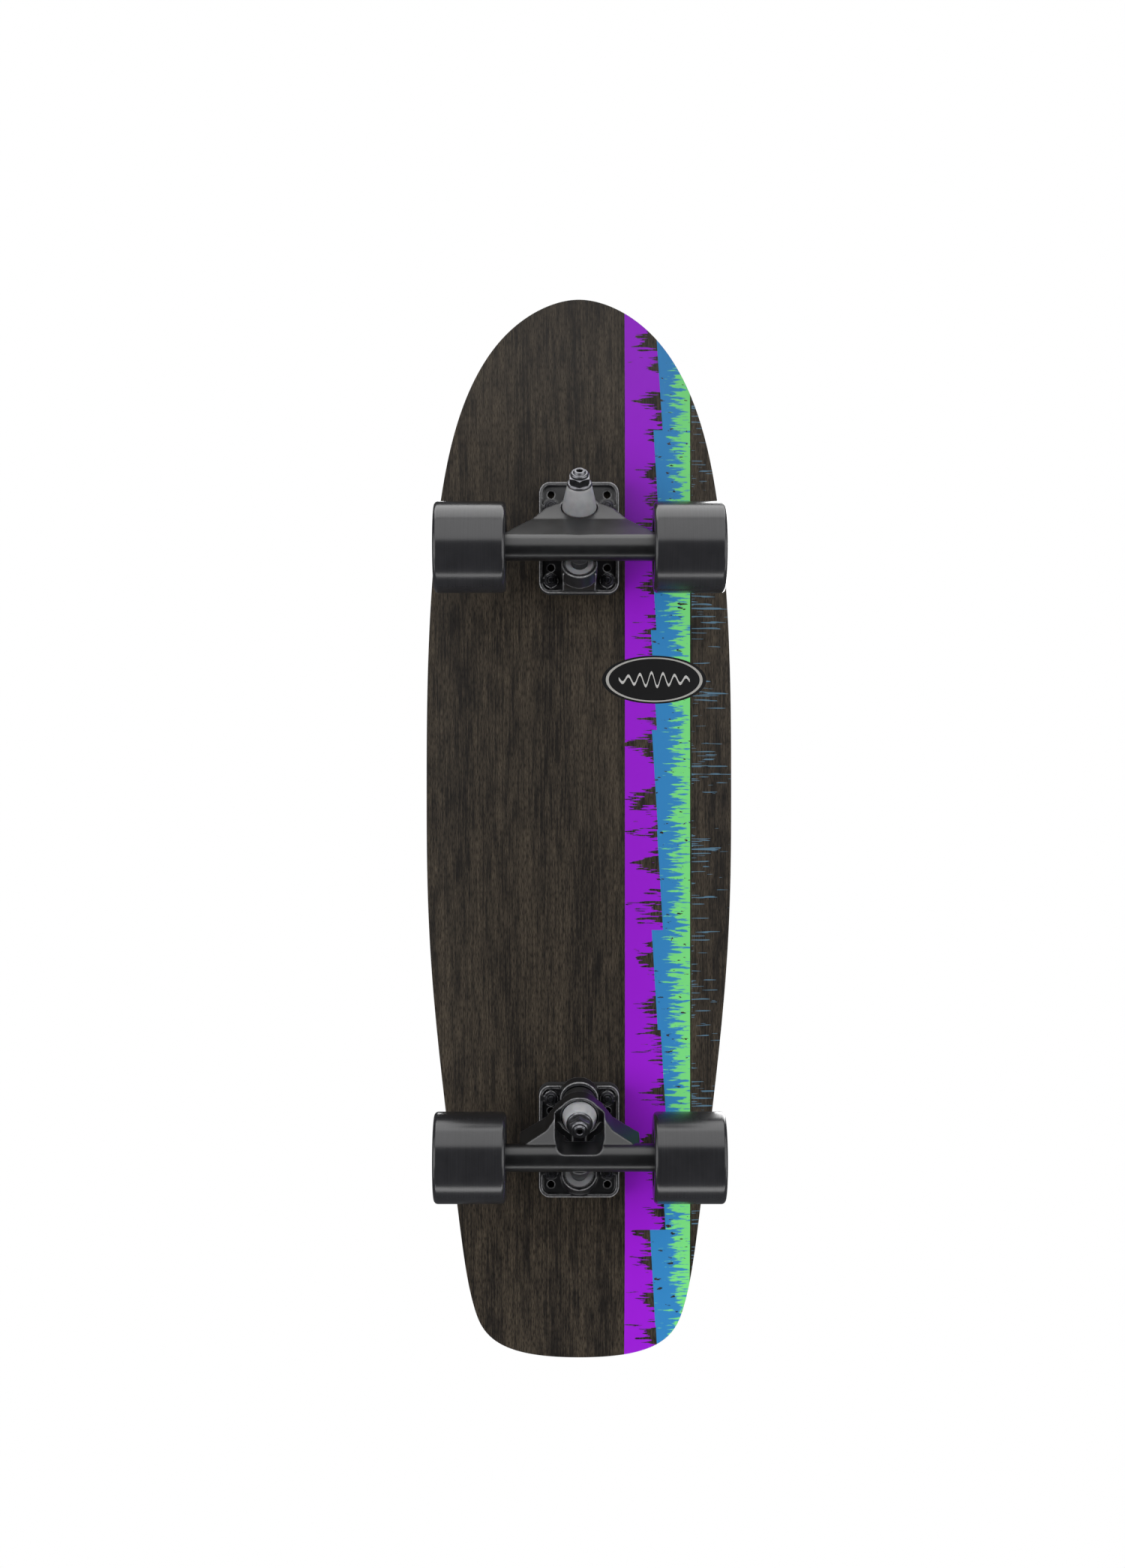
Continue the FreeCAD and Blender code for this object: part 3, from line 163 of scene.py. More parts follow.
def soft_box(name, place, target, width, height, watts):
    """A rectangular lamp at place, facing target."""
    lamp = bpy.data.lights.new(name, "AREA")
    lamp.shape = "RECTANGLE"
    lamp.size, lamp.size_y, lamp.energy = width, height, watts
    stand = bpy.data.objects.new(name, lamp)
    stand.location = place
    facing = Vector(target) - Vector(place)
    stand.rotation_euler = facing.to_track_quat("-Z", "Y").to_euler()
    stand.visible_camera = False
    bpy.context.scene.collection.objects.link(stand)
    return stand


back_panel = soft_box("panel beyond the nose, back", (0, -1.05, 0.15), (0, 0, 0),
                      1.6, 0.82, 14)
near_panel = soft_box("panel beyond the nose, near", (0, -0.665, -0.535), (0, 0, 0.1),
                      1.6, 0.8, 9.2)
back_panel.visible_diffuse = near_panel.visible_diffuse = False
for hand, sign in (("left", 1), ("right", -1)):
    soft_box(f"side box {hand}", (sign * 1.3, 0.05, -1.0), (0, 0.05, 0.1), 1.2, 1.2, 9.3)
    soft_box(f"rim {hand}", (sign * 1.1, 0.1, -0.2), (0, 0, 0.06), 1.4, 0.3, 4.5)
soft_box("strip beyond the tail", (0, 1.1, -0.2), (0, 0, 0.06), 1.2, 0.2, 3)
soft_box("over the board", (0.5, -0.6, 1.5), (0, 0, 0.1), 1.3, 1.3, 30)

FLOOR_HALF = 14
floor_bm = bmesh.new()
bmesh.ops.create_grid(floor_bm, x_segments=1, y_segments=1, size=FLOOR_HALF)
floor_mesh = bpy.data.meshes.new("floor")
floor_bm.to_mesh(floor_mesh)
floor_bm.free()
floor = bpy.data.objects.new("floor", floor_mesh)
bpy.context.scene.collection.objects.link(floor)
# The floor is only for the eye: it neither blocks a lamp nor shows in the wheels
floor.visible_shadow = floor.visible_glossy = floor.visible_diffuse = False
lining = bpy.data.materials.new("one-sided pale floor")
lining.use_nodes = True
lining.node_tree.nodes.clear()
side = add(lining.node_tree, "NewGeometry")
paint = add(lining.node_tree, "BsdfDiffuse", {"Color": linear("8E8F92")})
glow = add(lining.node_tree, "Emission", {"Color": linear("E9EAEC"), "Strength": 0.6})
pale = add(lining.node_tree, "AddShader", (paint, glow))
clear = add(lining.node_tree, "BsdfTransparent")
either = add(lining.node_tree, "MixShader",
             (side.outputs["Backfacing"], pale, clear))
add(lining.node_tree, "OutputMaterial", {"Surface": either})
floor_mesh.materials.append(lining)
print("lights:", len(bpy.data.lights), "and a floor", 2 * FLOOR_HALF, "m wide")

# %% [markdown]
# ## The printed underside
#
# The deck's bottom veneer is maple with a black-brown stain, rubbed back so that the pores stay
# darker than the grain, then printed and sealed with a satin lacquer. Grain in rotary-cut maple
# runs the length of the board in streaks about a millimetre wide. The print is three brush bands:
# purple with a straight edge, blue, and green with another straight edge. Where two bands meet,
# the paint breaks up in dry-brush strokes across the board, and light strokes fly off to the rail.
#
# Everything is worked out in millimetres from the piece's own Object coordinates. Streaks are
# noise that is stretched along the grain for the wood, and across it for the brush.

# %% Stained maple with a printed design


def streaks(tree, in_mm, across, along, detail=4.0, shift=0.0):
    """Noise whose cells measure across (X) by along (Y) millimetres."""
    stretched = add(tree, "Mapping", {
        "Vector": in_mm, "Location": (shift, 0, 0), "Scale": (1 / across, 1 / along, 0.0)})
    return add(tree, "TexNoise", {"Vector": stretched, "Scale": 1.0, "Detail": detail})


def wood_colour(tree, in_mm):
    """Stained maple: long streaks, broad bands of growth and fine dark pores."""
    fine = streaks(tree, in_mm, 1.3, 42.0, 6.0)
    broad = streaks(tree, in_mm, 16.0, 260.0, 3.0)
    pores = streaks(tree, in_mm, 0.55, 4.5, 3.0)
    mottle = streaks(tree, in_mm, 5.0, 18.0, 4.0)
    mixed = add(tree, "Math", (mottle, 0.24), operation="MULTIPLY")
    mixed = add(tree, "Math", (broad, 0.34, mixed), operation="MULTIPLY_ADD")
    mixed = add(tree, "Math", (fine, 0.42, mixed), operation="MULTIPLY_ADD")
    stain = two_tone(tree, mixed, "221D19", "574D40", 0.42, 0.60)
    dark = two_tone(tree, pores, "5A5652", "FFFFFF", 0.36, 0.56)
    colour = add(tree, "MixRGB", (0.8, stain, dark), blend_type="MULTIPLY")
    return colour, fine, pores


PURPLE_FROM, GREEN_TO = 34.0, 82.4
BRUSH_PULL = 74.0
BADGE_X, BADGE_Y, BADGE_HALF_X, BADGE_HALF_Y = 55.8, -111.3, 38.75, 17.8
WAVE_LENGTH, WAVE_HEIGHT, WAVE_HALF_LINE = 8.6, 5.5, 1.1


def brush_bands(tree, in_mm, wood):
    """Lays the purple, blue and green bands over the wood."""
    split = add(tree, "SeparateXYZ", (in_mm,))
    x, y = split.outputs["X"], split.outputs["Y"]

    # The blue band starts where one pull of the brush ends, and each pull drifts sideways
    pull = add(tree, "Math", (y, BRUSH_PULL), operation="DIVIDE")
    number = add(tree, "Math", (pull,), operation="FLOOR")
    lane = add(tree, "TexWhiteNoise", {"W": number}, noise_dimensions="1D")
    drift = add(tree, "Math", (pull,), operation="FRACT")
    drift = add(tree, "Math", (drift, 4.5, 52.5), operation="MULTIPLY_ADD")
    blue_from = add(tree, "Math", (lane, 9.0, drift), operation="MULTIPLY_ADD")
    to_blue = add(tree, "Math", (blue_from, x), operation="SUBTRACT")

    # Purple, with dry gaps that run in from the blue side
    patch = streaks(tree, in_mm, 60.0, 17.0, 2.0, 8.0)
    patch = add(tree, "Math", (patch, 84.0, -69.0), operation="MULTIPLY_ADD")
    dry = streaks(tree, in_mm, 16.0, 1.7, 2.0, 3.0)
    gap = add(tree, "Math", (dry, 58.0, patch), operation="MULTIPLY_ADD")
    covered = add(tree, "Math", (to_blue, gap), operation="GREATER_THAN")
    inside = add(tree, "Math", (x, PURPLE_FROM), operation="GREATER_THAN")
    left_of = add(tree, "Math", (to_blue, 0.0), operation="GREATER_THAN")
    purple = add(tree, "Math", (inside, covered), operation="MULTIPLY")
    purple = add(tree, "Math", (purple, left_of), operation="MULTIPLY")
    colour = add(tree, "MixRGB", (purple, wood, linear("AF1AF2")))

    # Blue, with a few specks of bare wood
    specks = streaks(tree, in_mm, 9.0, 3.2, 3.0, 20.0)
    specks = add(tree, "Math", (specks, 0.665), operation="LESS_THAN")
    in_band = add(tree, "Math", (x, GREEN_TO), operation="LESS_THAN")
    blue = add(tree, "Math", (to_blue, 0.0), operation="LESS_THAN")
    blue = add(tree, "Math", (blue, in_band), operation="MULTIPLY")
    blue = add(tree, "Math", (blue, specks), operation="MULTIPLY")
    colour = add(tree, "MixRGB", (blue, colour, linear("3A98DE")))

    # Green teeth that reach in from the far edge, with a thin mist of both colours round them
    swell = streaks(tree, in_mm, 80.0, 13.0, 2.0, 40.0)
    swell = add(tree, "Math", (swell, 26.0, -36.0), operation="MULTIPLY_ADD")
    teeth = streaks(tree, in_mm, 13.0, 2.1, 3.0, 31.0)
    reach = add(tree, "Math", (teeth, 62.0, swell), operation="MULTIPLY_ADD")
    to_edge = add(tree, "Math", (GREEN_TO, x), operation="SUBTRACT")
    past = add(tree, "Math", (reach, to_edge), operation="SUBTRACT")
    for margin, tone in ((-2.5, "6CD2C4"), (0.0, "8BFF95")):
        near = add(tree, "Math", (past, margin), operation="GREATER_THAN")
        near = add(tree, "Math", (near, blue), operation="MULTIPLY")
        colour = add(tree, "MixRGB", (near, colour, linear(tone)))

    # Light strokes past the green band, thinning out towards the rail
    flock = streaks(tree, in_mm, 90.0, 30.0, 1.0, 61.0)
    flock = add(tree, "Math", (flock, 0.42, -0.21), operation="MULTIPLY_ADD")
    beyond = add(tree, "Math", (x, GREEN_TO), operation="SUBTRACT")
    fade = add(tree, "Math", (beyond, -0.0035, flock), operation="MULTIPLY_ADD")
    flying = streaks(tree, in_mm, 22.0, 1.5, 1.0, 55.0)
    level = add(tree, "Math", (flying, fade), operation="ADD")
    stroke = add(tree, "Math", (level, 0.61), operation="GREATER_THAN")
    outside = add(tree, "Math", (beyond, 1.2), operation="GREATER_THAN")
    stroke = add(tree, "Math", (stroke, outside), operation="MULTIPLY")
    thin = add(tree, "Math", (stroke, 0.7), operation="MULTIPLY")
    return add(tree, "MixRGB", (thin, colour, linear("6E9DBB"))), x, y


def badge(tree, colour, x, y):
    """A plain oval with a light border and a wave that fades towards its ends."""
    across = add(tree, "Math", (x, BADGE_X), operation="SUBTRACT")
    up = add(tree, "Math", (y, BADGE_Y), operation="SUBTRACT")
    rx = add(tree, "Math", (across, BADGE_HALF_X), operation="DIVIDE")
    ry = add(tree, "Math", (up, BADGE_HALF_Y), operation="DIVIDE")
    size = add(tree, "Math", (rx, rx), operation="MULTIPLY")
    size = add(tree, "Math", (ry, ry, size), operation="MULTIPLY_ADD")
    oval = add(tree, "Math", (size, 1.0), operation="LESS_THAN")
    colour = add(tree, "MixRGB", (oval, colour, linear("0E0E10")))
    border = add(tree, "Math", (size, 0.81, 0.05), operation="COMPARE")
    colour = add(tree, "MixRGB", (border, colour, linear("C4C2BD")))
    # The wave is a sine whose height falls to nothing at the ends of the oval
    phase = add(tree, "Math", (across, 2 * math.pi / WAVE_LENGTH), operation="MULTIPLY")
    ripple = add(tree, "Math", (phase,), operation="SINE")
    outward = add(tree, "Math", (rx,), operation="ABSOLUTE")
    taper = add(tree, "Math", (outward, -WAVE_HEIGHT, WAVE_HEIGHT),
                operation="MULTIPLY_ADD")
    height = add(tree, "Math", (ripple, taper), operation="MULTIPLY")
    away = add(tree, "Math", (up, height), operation="SUBTRACT")
    away = add(tree, "Math", (away,), operation="ABSOLUTE")
    line = add(tree, "Math", (away, WAVE_HALF_LINE), operation="LESS_THAN")
    short = add(tree, "Math", (outward, 0.68), operation="LESS_THAN")
    line = add(tree, "Math", (line, short), operation="MULTIPLY")
    return add(tree, "MixRGB", (line, colour, linear("DAD9D6")))


def veneer(name, gloss, printed):
    """A lacquered maple veneer whose pores show, printed or plain."""
    material, tree, in_mm = new_material(name)
    colour, fine, pores = wood_colour(tree, in_mm)
    if printed:
        painted, x, y = brush_bands(tree, in_mm, colour)
        colour = badge(tree, painted, x, y)
    relief = add(tree, "Bump", {"Height": pores, "Strength": 0.12, "Distance": 0.00006})
    sheen = add(tree, "MapRange", {"Value": fine, "To Min": 0.52, "To Max": 0.66})
    close_material(tree, Base_Color=colour, Roughness=sheen, IOR=1.45, Normal=relief,
                   Specular_IOR_Level=gloss)
    print(name, "uses", len(tree.nodes), "nodes")
    return material


printed_maple = veneer("stained maple veneer, printed and lacquered", 0.2, True)
top_veneer = veneer("stained maple veneer, plain", 0.5, False)

# %% [markdown]
# ## Ply edges, grip and rubber
#
# The rail of the board shows the seven plies end-on. They are dyed dark right through and sealed,
# every other one running crossways, which reads as thin bands of slightly different brown. The top
# carries a sheet of silicon carbide grit, about 0.3 mm a grain, bedded in black resin: from arm's
# length it's a dead black with tiny glints, which are painted into the grains' colour as lighter
# greys. Riser pads are moulded rubber, matt and a little dusty.

# %% Wood edge, grip and rubber materials


def ply_edge(name, low, high):
    """End grain of a dyed ply: short dark fibres along the rail, under a satin sealer."""
    material, tree, in_mm = new_material(name)
    fibre = add(tree, "Mapping", {"Vector": in_mm, "Scale": (0.25, 0.25, 3.0)})
    grain = add(tree, "TexNoise", {"Vector": fibre, "Scale": 1.0, "Detail": 5.0})
    relief = add(tree, "Bump", {"Height": grain, "Strength": 0.25, "Distance": 0.0001})
    close_material(tree, Base_Color=two_tone(tree, grain, low, high), Roughness=0.55, IOR=1.5,
                   Normal=relief)
    return material


long_ply = ply_edge("dyed maple, long ply edge", "1B1715", "352D27")
cross_ply = ply_edge("dyed maple, cross ply edge", "120F0E", "241E1A")

grip_sheet, tree, in_mm = new_material("silicon carbide grip sheet")
grit = add(tree, "TexVoronoi", {"Vector": in_mm, "Scale": 1.7})
patchy = add(tree, "TexNoise", {"Vector": in_mm, "Scale": 0.02, "Detail": 3.0})
# The grains are drawn at about 0.6 mm, twice their real size, so that they show
# Each grain gets its own grey; the lighter grains are grain tone and painted glints together
grain_tone_and_glints = two_tone(tree, grit.outputs["Color"], "0D0D0E", "2A2A2C", 0.35, 0.95)
worn = two_tone(tree, patchy, "D0D0D0", "FFFFFF")
grip_colour = add(tree, "MixRGB", (0.8, grain_tone_and_glints, worn), blend_type="MULTIPLY")
relief = add(tree, "Bump", {"Height": grit.outputs["Distance"], "Strength": 0.8,
                                      "Distance": 0.0003})
close_material(tree, Base_Color=grip_colour, Roughness=0.85, IOR=1.55, Normal=relief)

pad_rubber, tree, in_mm = new_material("moulded black rubber")
bloom = add(tree, "TexNoise", {"Vector": in_mm, "Scale": 0.2, "Detail": 5.0})
skin = add(tree, "TexNoise", {"Vector": in_mm, "Scale": 3.0, "Detail": 2.0})
relief = add(tree, "Bump", {"Height": skin, "Strength": 0.3, "Distance": 0.0001})
close_material(tree, Base_Color=two_tone(tree, bloom, "141415", "232324"), Roughness=0.75,
               IOR=1.52, Normal=relief)
print("ply edges:", long_ply.name, "and", cross_ply.name)

# %% [markdown]
# ## Coated castings
#
# Hangers and baseplates are gravity-cast aluminium with a satin black electro-coat. The coat is
# thinner on the outer corners, where handling and tumbling let the grey metal shine through, so
# the material goes from black to light grey where the surface is sharply convex. That light grey
# is wear and a painted highlight together, the corners' shine painted into the colour. The coat
# itself has a faint orange peel, half a millimetre across.

# %% Cast and coated aluminium


def coated_casting(name, dark, light, edge):
    """Black coat over grey metal, lighter on the outer corners: wear and a painted highlight."""
    material, tree, in_mm = new_material(name)
    cloud = add(tree, "TexNoise", {"Vector": in_mm, "Scale": 0.09, "Detail": 4.0})
    peel = add(tree, "TexNoise", {"Vector": in_mm, "Scale": 1.8, "Detail": 2.0})
    scuff = add(tree, "TexNoise", {"Vector": in_mm, "Scale": 0.7, "Detail": 5.0})
    bend = add(tree, "NewGeometry")
    convex_wear_and_highlight = add(tree, "MapRange", {"Value": bend.outputs["Pointiness"],
                                            "From Min": 0.508, "From Max": 0.57})
    uneven = add(tree, "MapRange", {"Value": scuff, "From Min": 0.3, "From Max": 0.65,
                                              "To Min": 0.45, "To Max": 1.0})
    # Convex, scuffed corners take the edge colour: worn coat and a painted highlight together
    worn = add(tree, "Math", (convex_wear_and_highlight, uneven), operation="MULTIPLY")
    coat = two_tone(tree, cloud, dark, light)
    colour = add(tree, "MixRGB", (worn, coat, linear(edge)))
    rough = add(tree, "MapRange", {"Value": cloud, "To Min": 0.26, "To Max": 0.36})
    shine = add(tree, "Math", (worn, 0.3), operation="MULTIPLY")
    relief = add(tree, "Bump", {"Height": peel, "Strength": 0.15, "Distance": 0.00008})
    close_material(tree, Base_Color=colour, Metallic=shine, Roughness=rough, IOR=1.5,
                   Normal=relief)
    return material


# Edge colours are worn metal plus painted highlight; the plate's is painted brighter, near white
hanger_coat = coated_casting("electro-coated cast aluminium, hanger", "161618", "212123", "C0C0C3")
plate_coat = coated_casting("electro-coated cast aluminium, plate", "19191B", "252527", "F0F0F2")
print("coats:", hanger_coat.name, "and", plate_coat.name)

# %% [markdown]
# ## Steel
#
# Five steels. Axles and rings are turned and zinc-plated, so they have fine marks from the lathe
# and a slightly cloudy plate. Kingpins, their nuts and their dished washers are plain steel with a
# film of oil. Screws, lock nuts and cup washers are blackened. Bearing races are ground and nearly
# mirror bright, and their shields are stamped from thin plated strip.

# %% Steel materials


def turned_steel(name, low, high, roughness, scale=2.5):
    """Metal with fine machining marks and a cloudy plate."""
    material, tree, in_mm = new_material(name)
    cloud = add(tree, "TexNoise", {"Vector": in_mm, "Scale": 0.35, "Detail": 4.0})
    marks = add(tree, "TexNoise", {"Vector": in_mm, "Scale": scale, "Detail": 6.0,
                                             "Roughness": 0.7})
    rough = add(tree, "MapRange", {"Value": marks, "To Min": roughness * 0.75,
                                             "To Max": roughness * 1.3})
    relief = add(tree, "Bump", {"Height": marks, "Strength": 0.15, "Distance": 0.00005})
    close_material(tree, Base_Color=two_tone(tree, cloud, low, high), Metallic=1.0,
                   Roughness=rough, Normal=relief)
    return material


zinc_steel = turned_steel("zinc-plated turned steel", "8F9093", "B9BABD", 0.30)
black_steel = turned_steel("blackened steel", "2A2A2C", "3D3D40", 0.42)
nut_steel = turned_steel("oiled plain steel", "57575A", "747478", 0.34)
ground_steel = turned_steel("ground bearing steel", "B6B7BA", "D5D6D8", 0.16, 5.0)
shield_strip = turned_steel("stamped zinc strip", "9C9DA0", "B8B9BC", 0.34)
print("steels:", [steel.name for steel in (zinc_steel, nut_steel, black_steel, ground_steel)])

# %% [markdown]
# ## Urethane and plastics
#
# Wheels are poured urethane with carbon black in it, charcoal grey and satin from the lathe, with
# faint turning marks and a little dust. The cone bushings and the pivot cups are a light grey
# urethane that lets a little light in, and the barrel bushings are black. The wheel cores and the
# nuts' locking rings are moulded nylon.

# %% Urethane and plastic materials
tyre_urethane, tree, in_mm = new_material("charcoal poured urethane")
dust = add(tree, "TexNoise", {"Vector": in_mm, "Scale": 0.06, "Detail": 5.0})
hoops = add(tree, "Mapping", {"Vector": in_mm, "Scale": (1.4, 0.02, 0.02)})
lathe_marks = add(tree, "TexNoise", {"Vector": hoops, "Scale": 1.0, "Detail": 4.0})
worn_in = add(tree, "Math", (dust, 0.55), operation="MULTIPLY")
blend = add(tree, "Math", (lathe_marks, 0.45, worn_in), operation="MULTIPLY_ADD")
rough = add(tree, "MapRange", {"Value": lathe_marks, "To Min": 0.16, "To Max": 0.27})
relief = add(tree, "Bump", {"Height": lathe_marks, "Strength": 0.2,
                                      "Distance": 0.0001})
close_material(tree, Base_Color=two_tone(tree, blend, "28282B", "343437"), Roughness=rough,
               IOR=1.5, Normal=relief)


def moulded(name, low, high, roughness, glow=0.0, glow_depth=0.001):
    """A plain moulding: cloudy colour, a soft skin and, for urethane, a little depth."""
    material, tree, in_mm = new_material(name)
    cloud = add(tree, "TexNoise", {"Vector": in_mm, "Scale": 0.15, "Detail": 4.0})
    skin = add(tree, "TexNoise", {"Vector": in_mm, "Scale": 2.2, "Detail": 3.0})
    rough = add(tree, "MapRange", {"Value": skin, "To Min": roughness * 0.85,
                                             "To Max": roughness * 1.2})
    relief = add(tree, "Bump", {"Height": skin, "Strength": 0.1, "Distance": 0.0001})
    close_material(tree, Base_Color=two_tone(tree, cloud, low, high), Roughness=rough, IOR=1.5,
                   Normal=relief, Subsurface_Weight=glow, Subsurface_Scale=glow_depth)
    return material


barrel_urethane = moulded("black poured urethane", "171718", "232325", 0.4)
bushing_urethane = moulded("light grey poured urethane", "CBCBCE", "DEDEE1", 0.36, 0.15)
core_nylon = moulded("black glass-filled nylon", "161617", "222224", 0.5)
lock_nylon = moulded("natural nylon", "C9C6BC", "DAD8D0", 0.45, 0.1)
cage_nylon = moulded("brown cage nylon", "4A3826", "5D4731", 0.5)
print("materials:", len(bpy.data.materials))

# %% [markdown]
# ## Helpers for meshes
#
# Almost everything on a truck is turned on a lathe, so one helper does what the lathe does. It
# takes half a cross-section as (radius, along, rounding) in millimetres, makes it a face, rounds
# its corners with a vertex bevel, and spins its outline round the axis. Long straight edges are
# subdivided first where a piece has to bend later.
#
# A second helper takes a CAD node apart into its loose solids and gives each one's box, which is
# where the copies of a repeated piece go.

# %% Helpers for meshes


def absorb(target, piece, where=None):
    """Adds one bmesh to another, moved by a matrix, and lets it go."""
    if where is not None:
        bmesh.ops.transform(piece, matrix=where, verts=piece.verts)
    carrier = bpy.data.meshes.new("carrier")
    piece.to_mesh(carrier)
    piece.free()
    target.from_mesh(carrier)
    bpy.data.meshes.remove(carrier)


def turned(corners, steps=64, slot=0, longest=None, rounding_steps=4):
    """Spins a closed half-section (radius, along, rounding) in mm round Z."""
    piece = bmesh.new()
    ring = [piece.verts.new((radius * MM, 0, along * MM)) for radius, along, *_ in corners]
    piece.faces.new(ring)
    for size in sorted({corner[2] for corner in corners if len(corner) > 2}):
        rounded = [v for v, corner in zip(ring, corners) if len(corner) > 2 and corner[2] == size]
        bmesh.ops.bevel(piece, geom=rounded, offset=size * MM, offset_type="OFFSET",
                        affect="VERTICES", segments=rounding_steps, profile=0.5, material=-1)
    bmesh.ops.delete(piece, geom=piece.faces[:], context="FACES_ONLY")
    on_axis = [e for e in piece.edges if all(abs(v.co.x) < 1e-7 for v in e.verts)]
    bmesh.ops.delete(piece, geom=on_axis, context="EDGES")
    if longest:
        long_edges = [e for e in piece.edges if e.calc_length() > longest * MM]
        cuts = max(int(max(e.calc_length() for e in long_edges) / (longest * MM)), 1)
        bmesh.ops.subdivide_edges(piece, edges=long_edges, cuts=cuts)
    bmesh.ops.spin(piece, geom=piece.verts[:] + piece.edges[:], cent=(0, 0, 0), axis=(0, 0, 1),
                   angle=2 * math.pi, steps=steps, use_merge=True)
    bmesh.ops.remove_doubles(piece, verts=piece.verts, dist=2e-6)
    bmesh.ops.recalc_face_normals(piece, faces=piece.faces)
    for face in piece.faces:
        face.material_index = slot
    return piece


def carved(block, tool, operation):
    """Puts two closed bmeshes through a Boolean and gives back the result."""
    pair = []
    for source in (block, tool):
        mesh = bpy.data.meshes.new("carving")
        source.to_mesh(mesh)
        source.free()
        pair.append(bpy.data.objects.new("carving", mesh))
        bpy.context.scene.collection.objects.link(pair[-1])
    step = pair[0].modifiers.new("carve", "BOOLEAN")
    step.object, step.operation, step.solver = pair[1], operation, "EXACT"
    result = bmesh.new()
    result.from_object(pair[0], bpy.context.evaluated_depsgraph_get())
    for thing in pair:
        mesh = thing.data
        bpy.data.objects.remove(thing)
        bpy.data.meshes.remove(mesh)
    return result


def aim(point, direction):
    """The matrix that carries local Z to a direction through a point."""
    turn = Vector(direction).to_track_quat("Z", "Y").to_matrix().to_4x4()
    return Matrix.Translation(point) @ turn


def solids_of(name):
    """The boxes of a CAD node's loose solids, in millimetres."""
    bm = bmesh.new()
    bm.from_mesh(nodes[name].data)
    bmesh.ops.remove_doubles(bm, verts=bm.verts, dist=1e-6)
    waiting, boxes = set(bm.verts), []
    while waiting:
        reached, edge_of_it = set(), [waiting.pop()]
        while edge_of_it:
            vert = edge_of_it.pop()
            reached.add(vert)
            for edge in vert.link_edges:
                other = edge.other_vert(vert)
                if other in waiting:
                    waiting.discard(other)
                    edge_of_it.append(other)
        spans = [sorted(v.co[i] / MM for v in reached) for i in range(3)]
        boxes.append((Vector([s[0] for s in spans]), Vector([s[-1] for s in spans])))
    bm.free()
    return sorted(boxes, key=lambda box: tuple(box[0]))


def finished(name, bm, materials, body, replaced, crease=32.0, where=None):
    """Makes a bmesh, moved by a matrix, an object that stands for CAD nodes and rides on a body."""
    if where is not None:
        bmesh.ops.transform(bm, matrix=where, verts=bm.verts)
    mesh = bpy.data.meshes.new(name)
    bm.to_mesh(mesh)
    bm.free()
    for material in materials:
        mesh.materials.append(material)
    mesh.shade_smooth()
    mesh.set_sharp_from_angle(angle=math.radians(crease))
    thing = bpy.data.objects.new(name, mesh)
    bpy.context.scene.collection.objects.link(thing)
    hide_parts(*replaced)
    if body:
        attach(thing, body)
    return thing


def keep_node(name, material):
    """Gives a CAD node whose shape is right its finish."""
    slots = nodes[name].material_slots
    for number in range(len(slots)):
        slots[number].material = material


print("loose solids in the screws' node:", len(solids_of("mount_bolts")))

# %% [markdown]
# ## The deck
#
# Seven maple veneers are glued in a mould, so the board is one sheet of even thickness with raised
# rails, a low nose and a steeper tail. Its outline is cut after pressing and the rim rounded over.
#
# The same order works here. The half outline is a NURBS curve on the eleven points that the plan
# was drawn with; it's made a mesh, mirrored and filled. Cutting planes lay a grid across the
# sheet, an extrusion gives it its thickness, a bevel rounds the rim, and more cutting planes at the
# glue lines part the plies, so that each can have its own finish. The screw holes are drilled while
# the blank is flat, and the blank is pressed to shape last.

# %% Outline of the blank
deck_low, deck_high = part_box("deck")
HALF = deck_high.x / MM
NOSE, TAIL = deck_low.y / MM, deck_high.y / MM
HALF_PLAN = ((0, NOSE), (17.8, NOSE), (62.8, NOSE + 21.2), (102, NOSE + 111.7),
             (HALF, NOSE + 256.8), (HALF, NOSE + 365), (HALF, TAIL - 295), (87.8, TAIL - 100),
             (81.3, TAIL - 37.6), (63.8, TAIL), (0, TAIL))
plan_curve = bpy.data.curves.new("plan", "CURVE")
plan_curve.dimensions = "3D"
line = plan_curve.splines.new("NURBS")
line.points.add(len(HALF_PLAN) - 1)
for point, (px, py) in zip(line.points, HALF_PLAN):
    point.co = (px * MM, py * MM, 0, 1)
line.order_u = 4
line.use_endpoint_u = True
line.resolution_u = 36
plan_object = bpy.data.objects.new("plan", plan_curve)
half_line = bpy.data.meshes.new_from_object(plan_object)
blank = bmesh.new()
blank.from_mesh(half_line)
bpy.data.objects.remove(plan_object)
bmesh.ops.mirror(blank, geom=blank.verts[:] + blank.edges[:], axis="X", merge_dist=1e-6,
                 matrix=Matrix.Identity(4))
bmesh.ops.remove_doubles(blank, verts=blank.verts, dist=1e-6)
bmesh.ops.contextual_create(blank, geom=blank.edges[:])
print("outline points:", len(blank.verts), "faces:", len(blank.faces))

# %% [markdown]
# A sheet can only bend where it has edges, so the grid is finer than the bends: cuts every 7 mm
# both ways keep the rail arcs and the kicks smooth.

# %% Grid, thickness and rim
PLY = 1.55
PLIES = 7
THICK = PLY * PLIES
GRID = 7.0
RIM = 2.5


def slice_all(bm, point, normal):
    """Cuts every face of a bmesh along one plane."""
    bmesh.ops.bisect_plane(bm, geom=bm.verts[:] + bm.edges[:] + bm.faces[:], dist=1e-6,
                           plane_co=point, plane_no=normal)


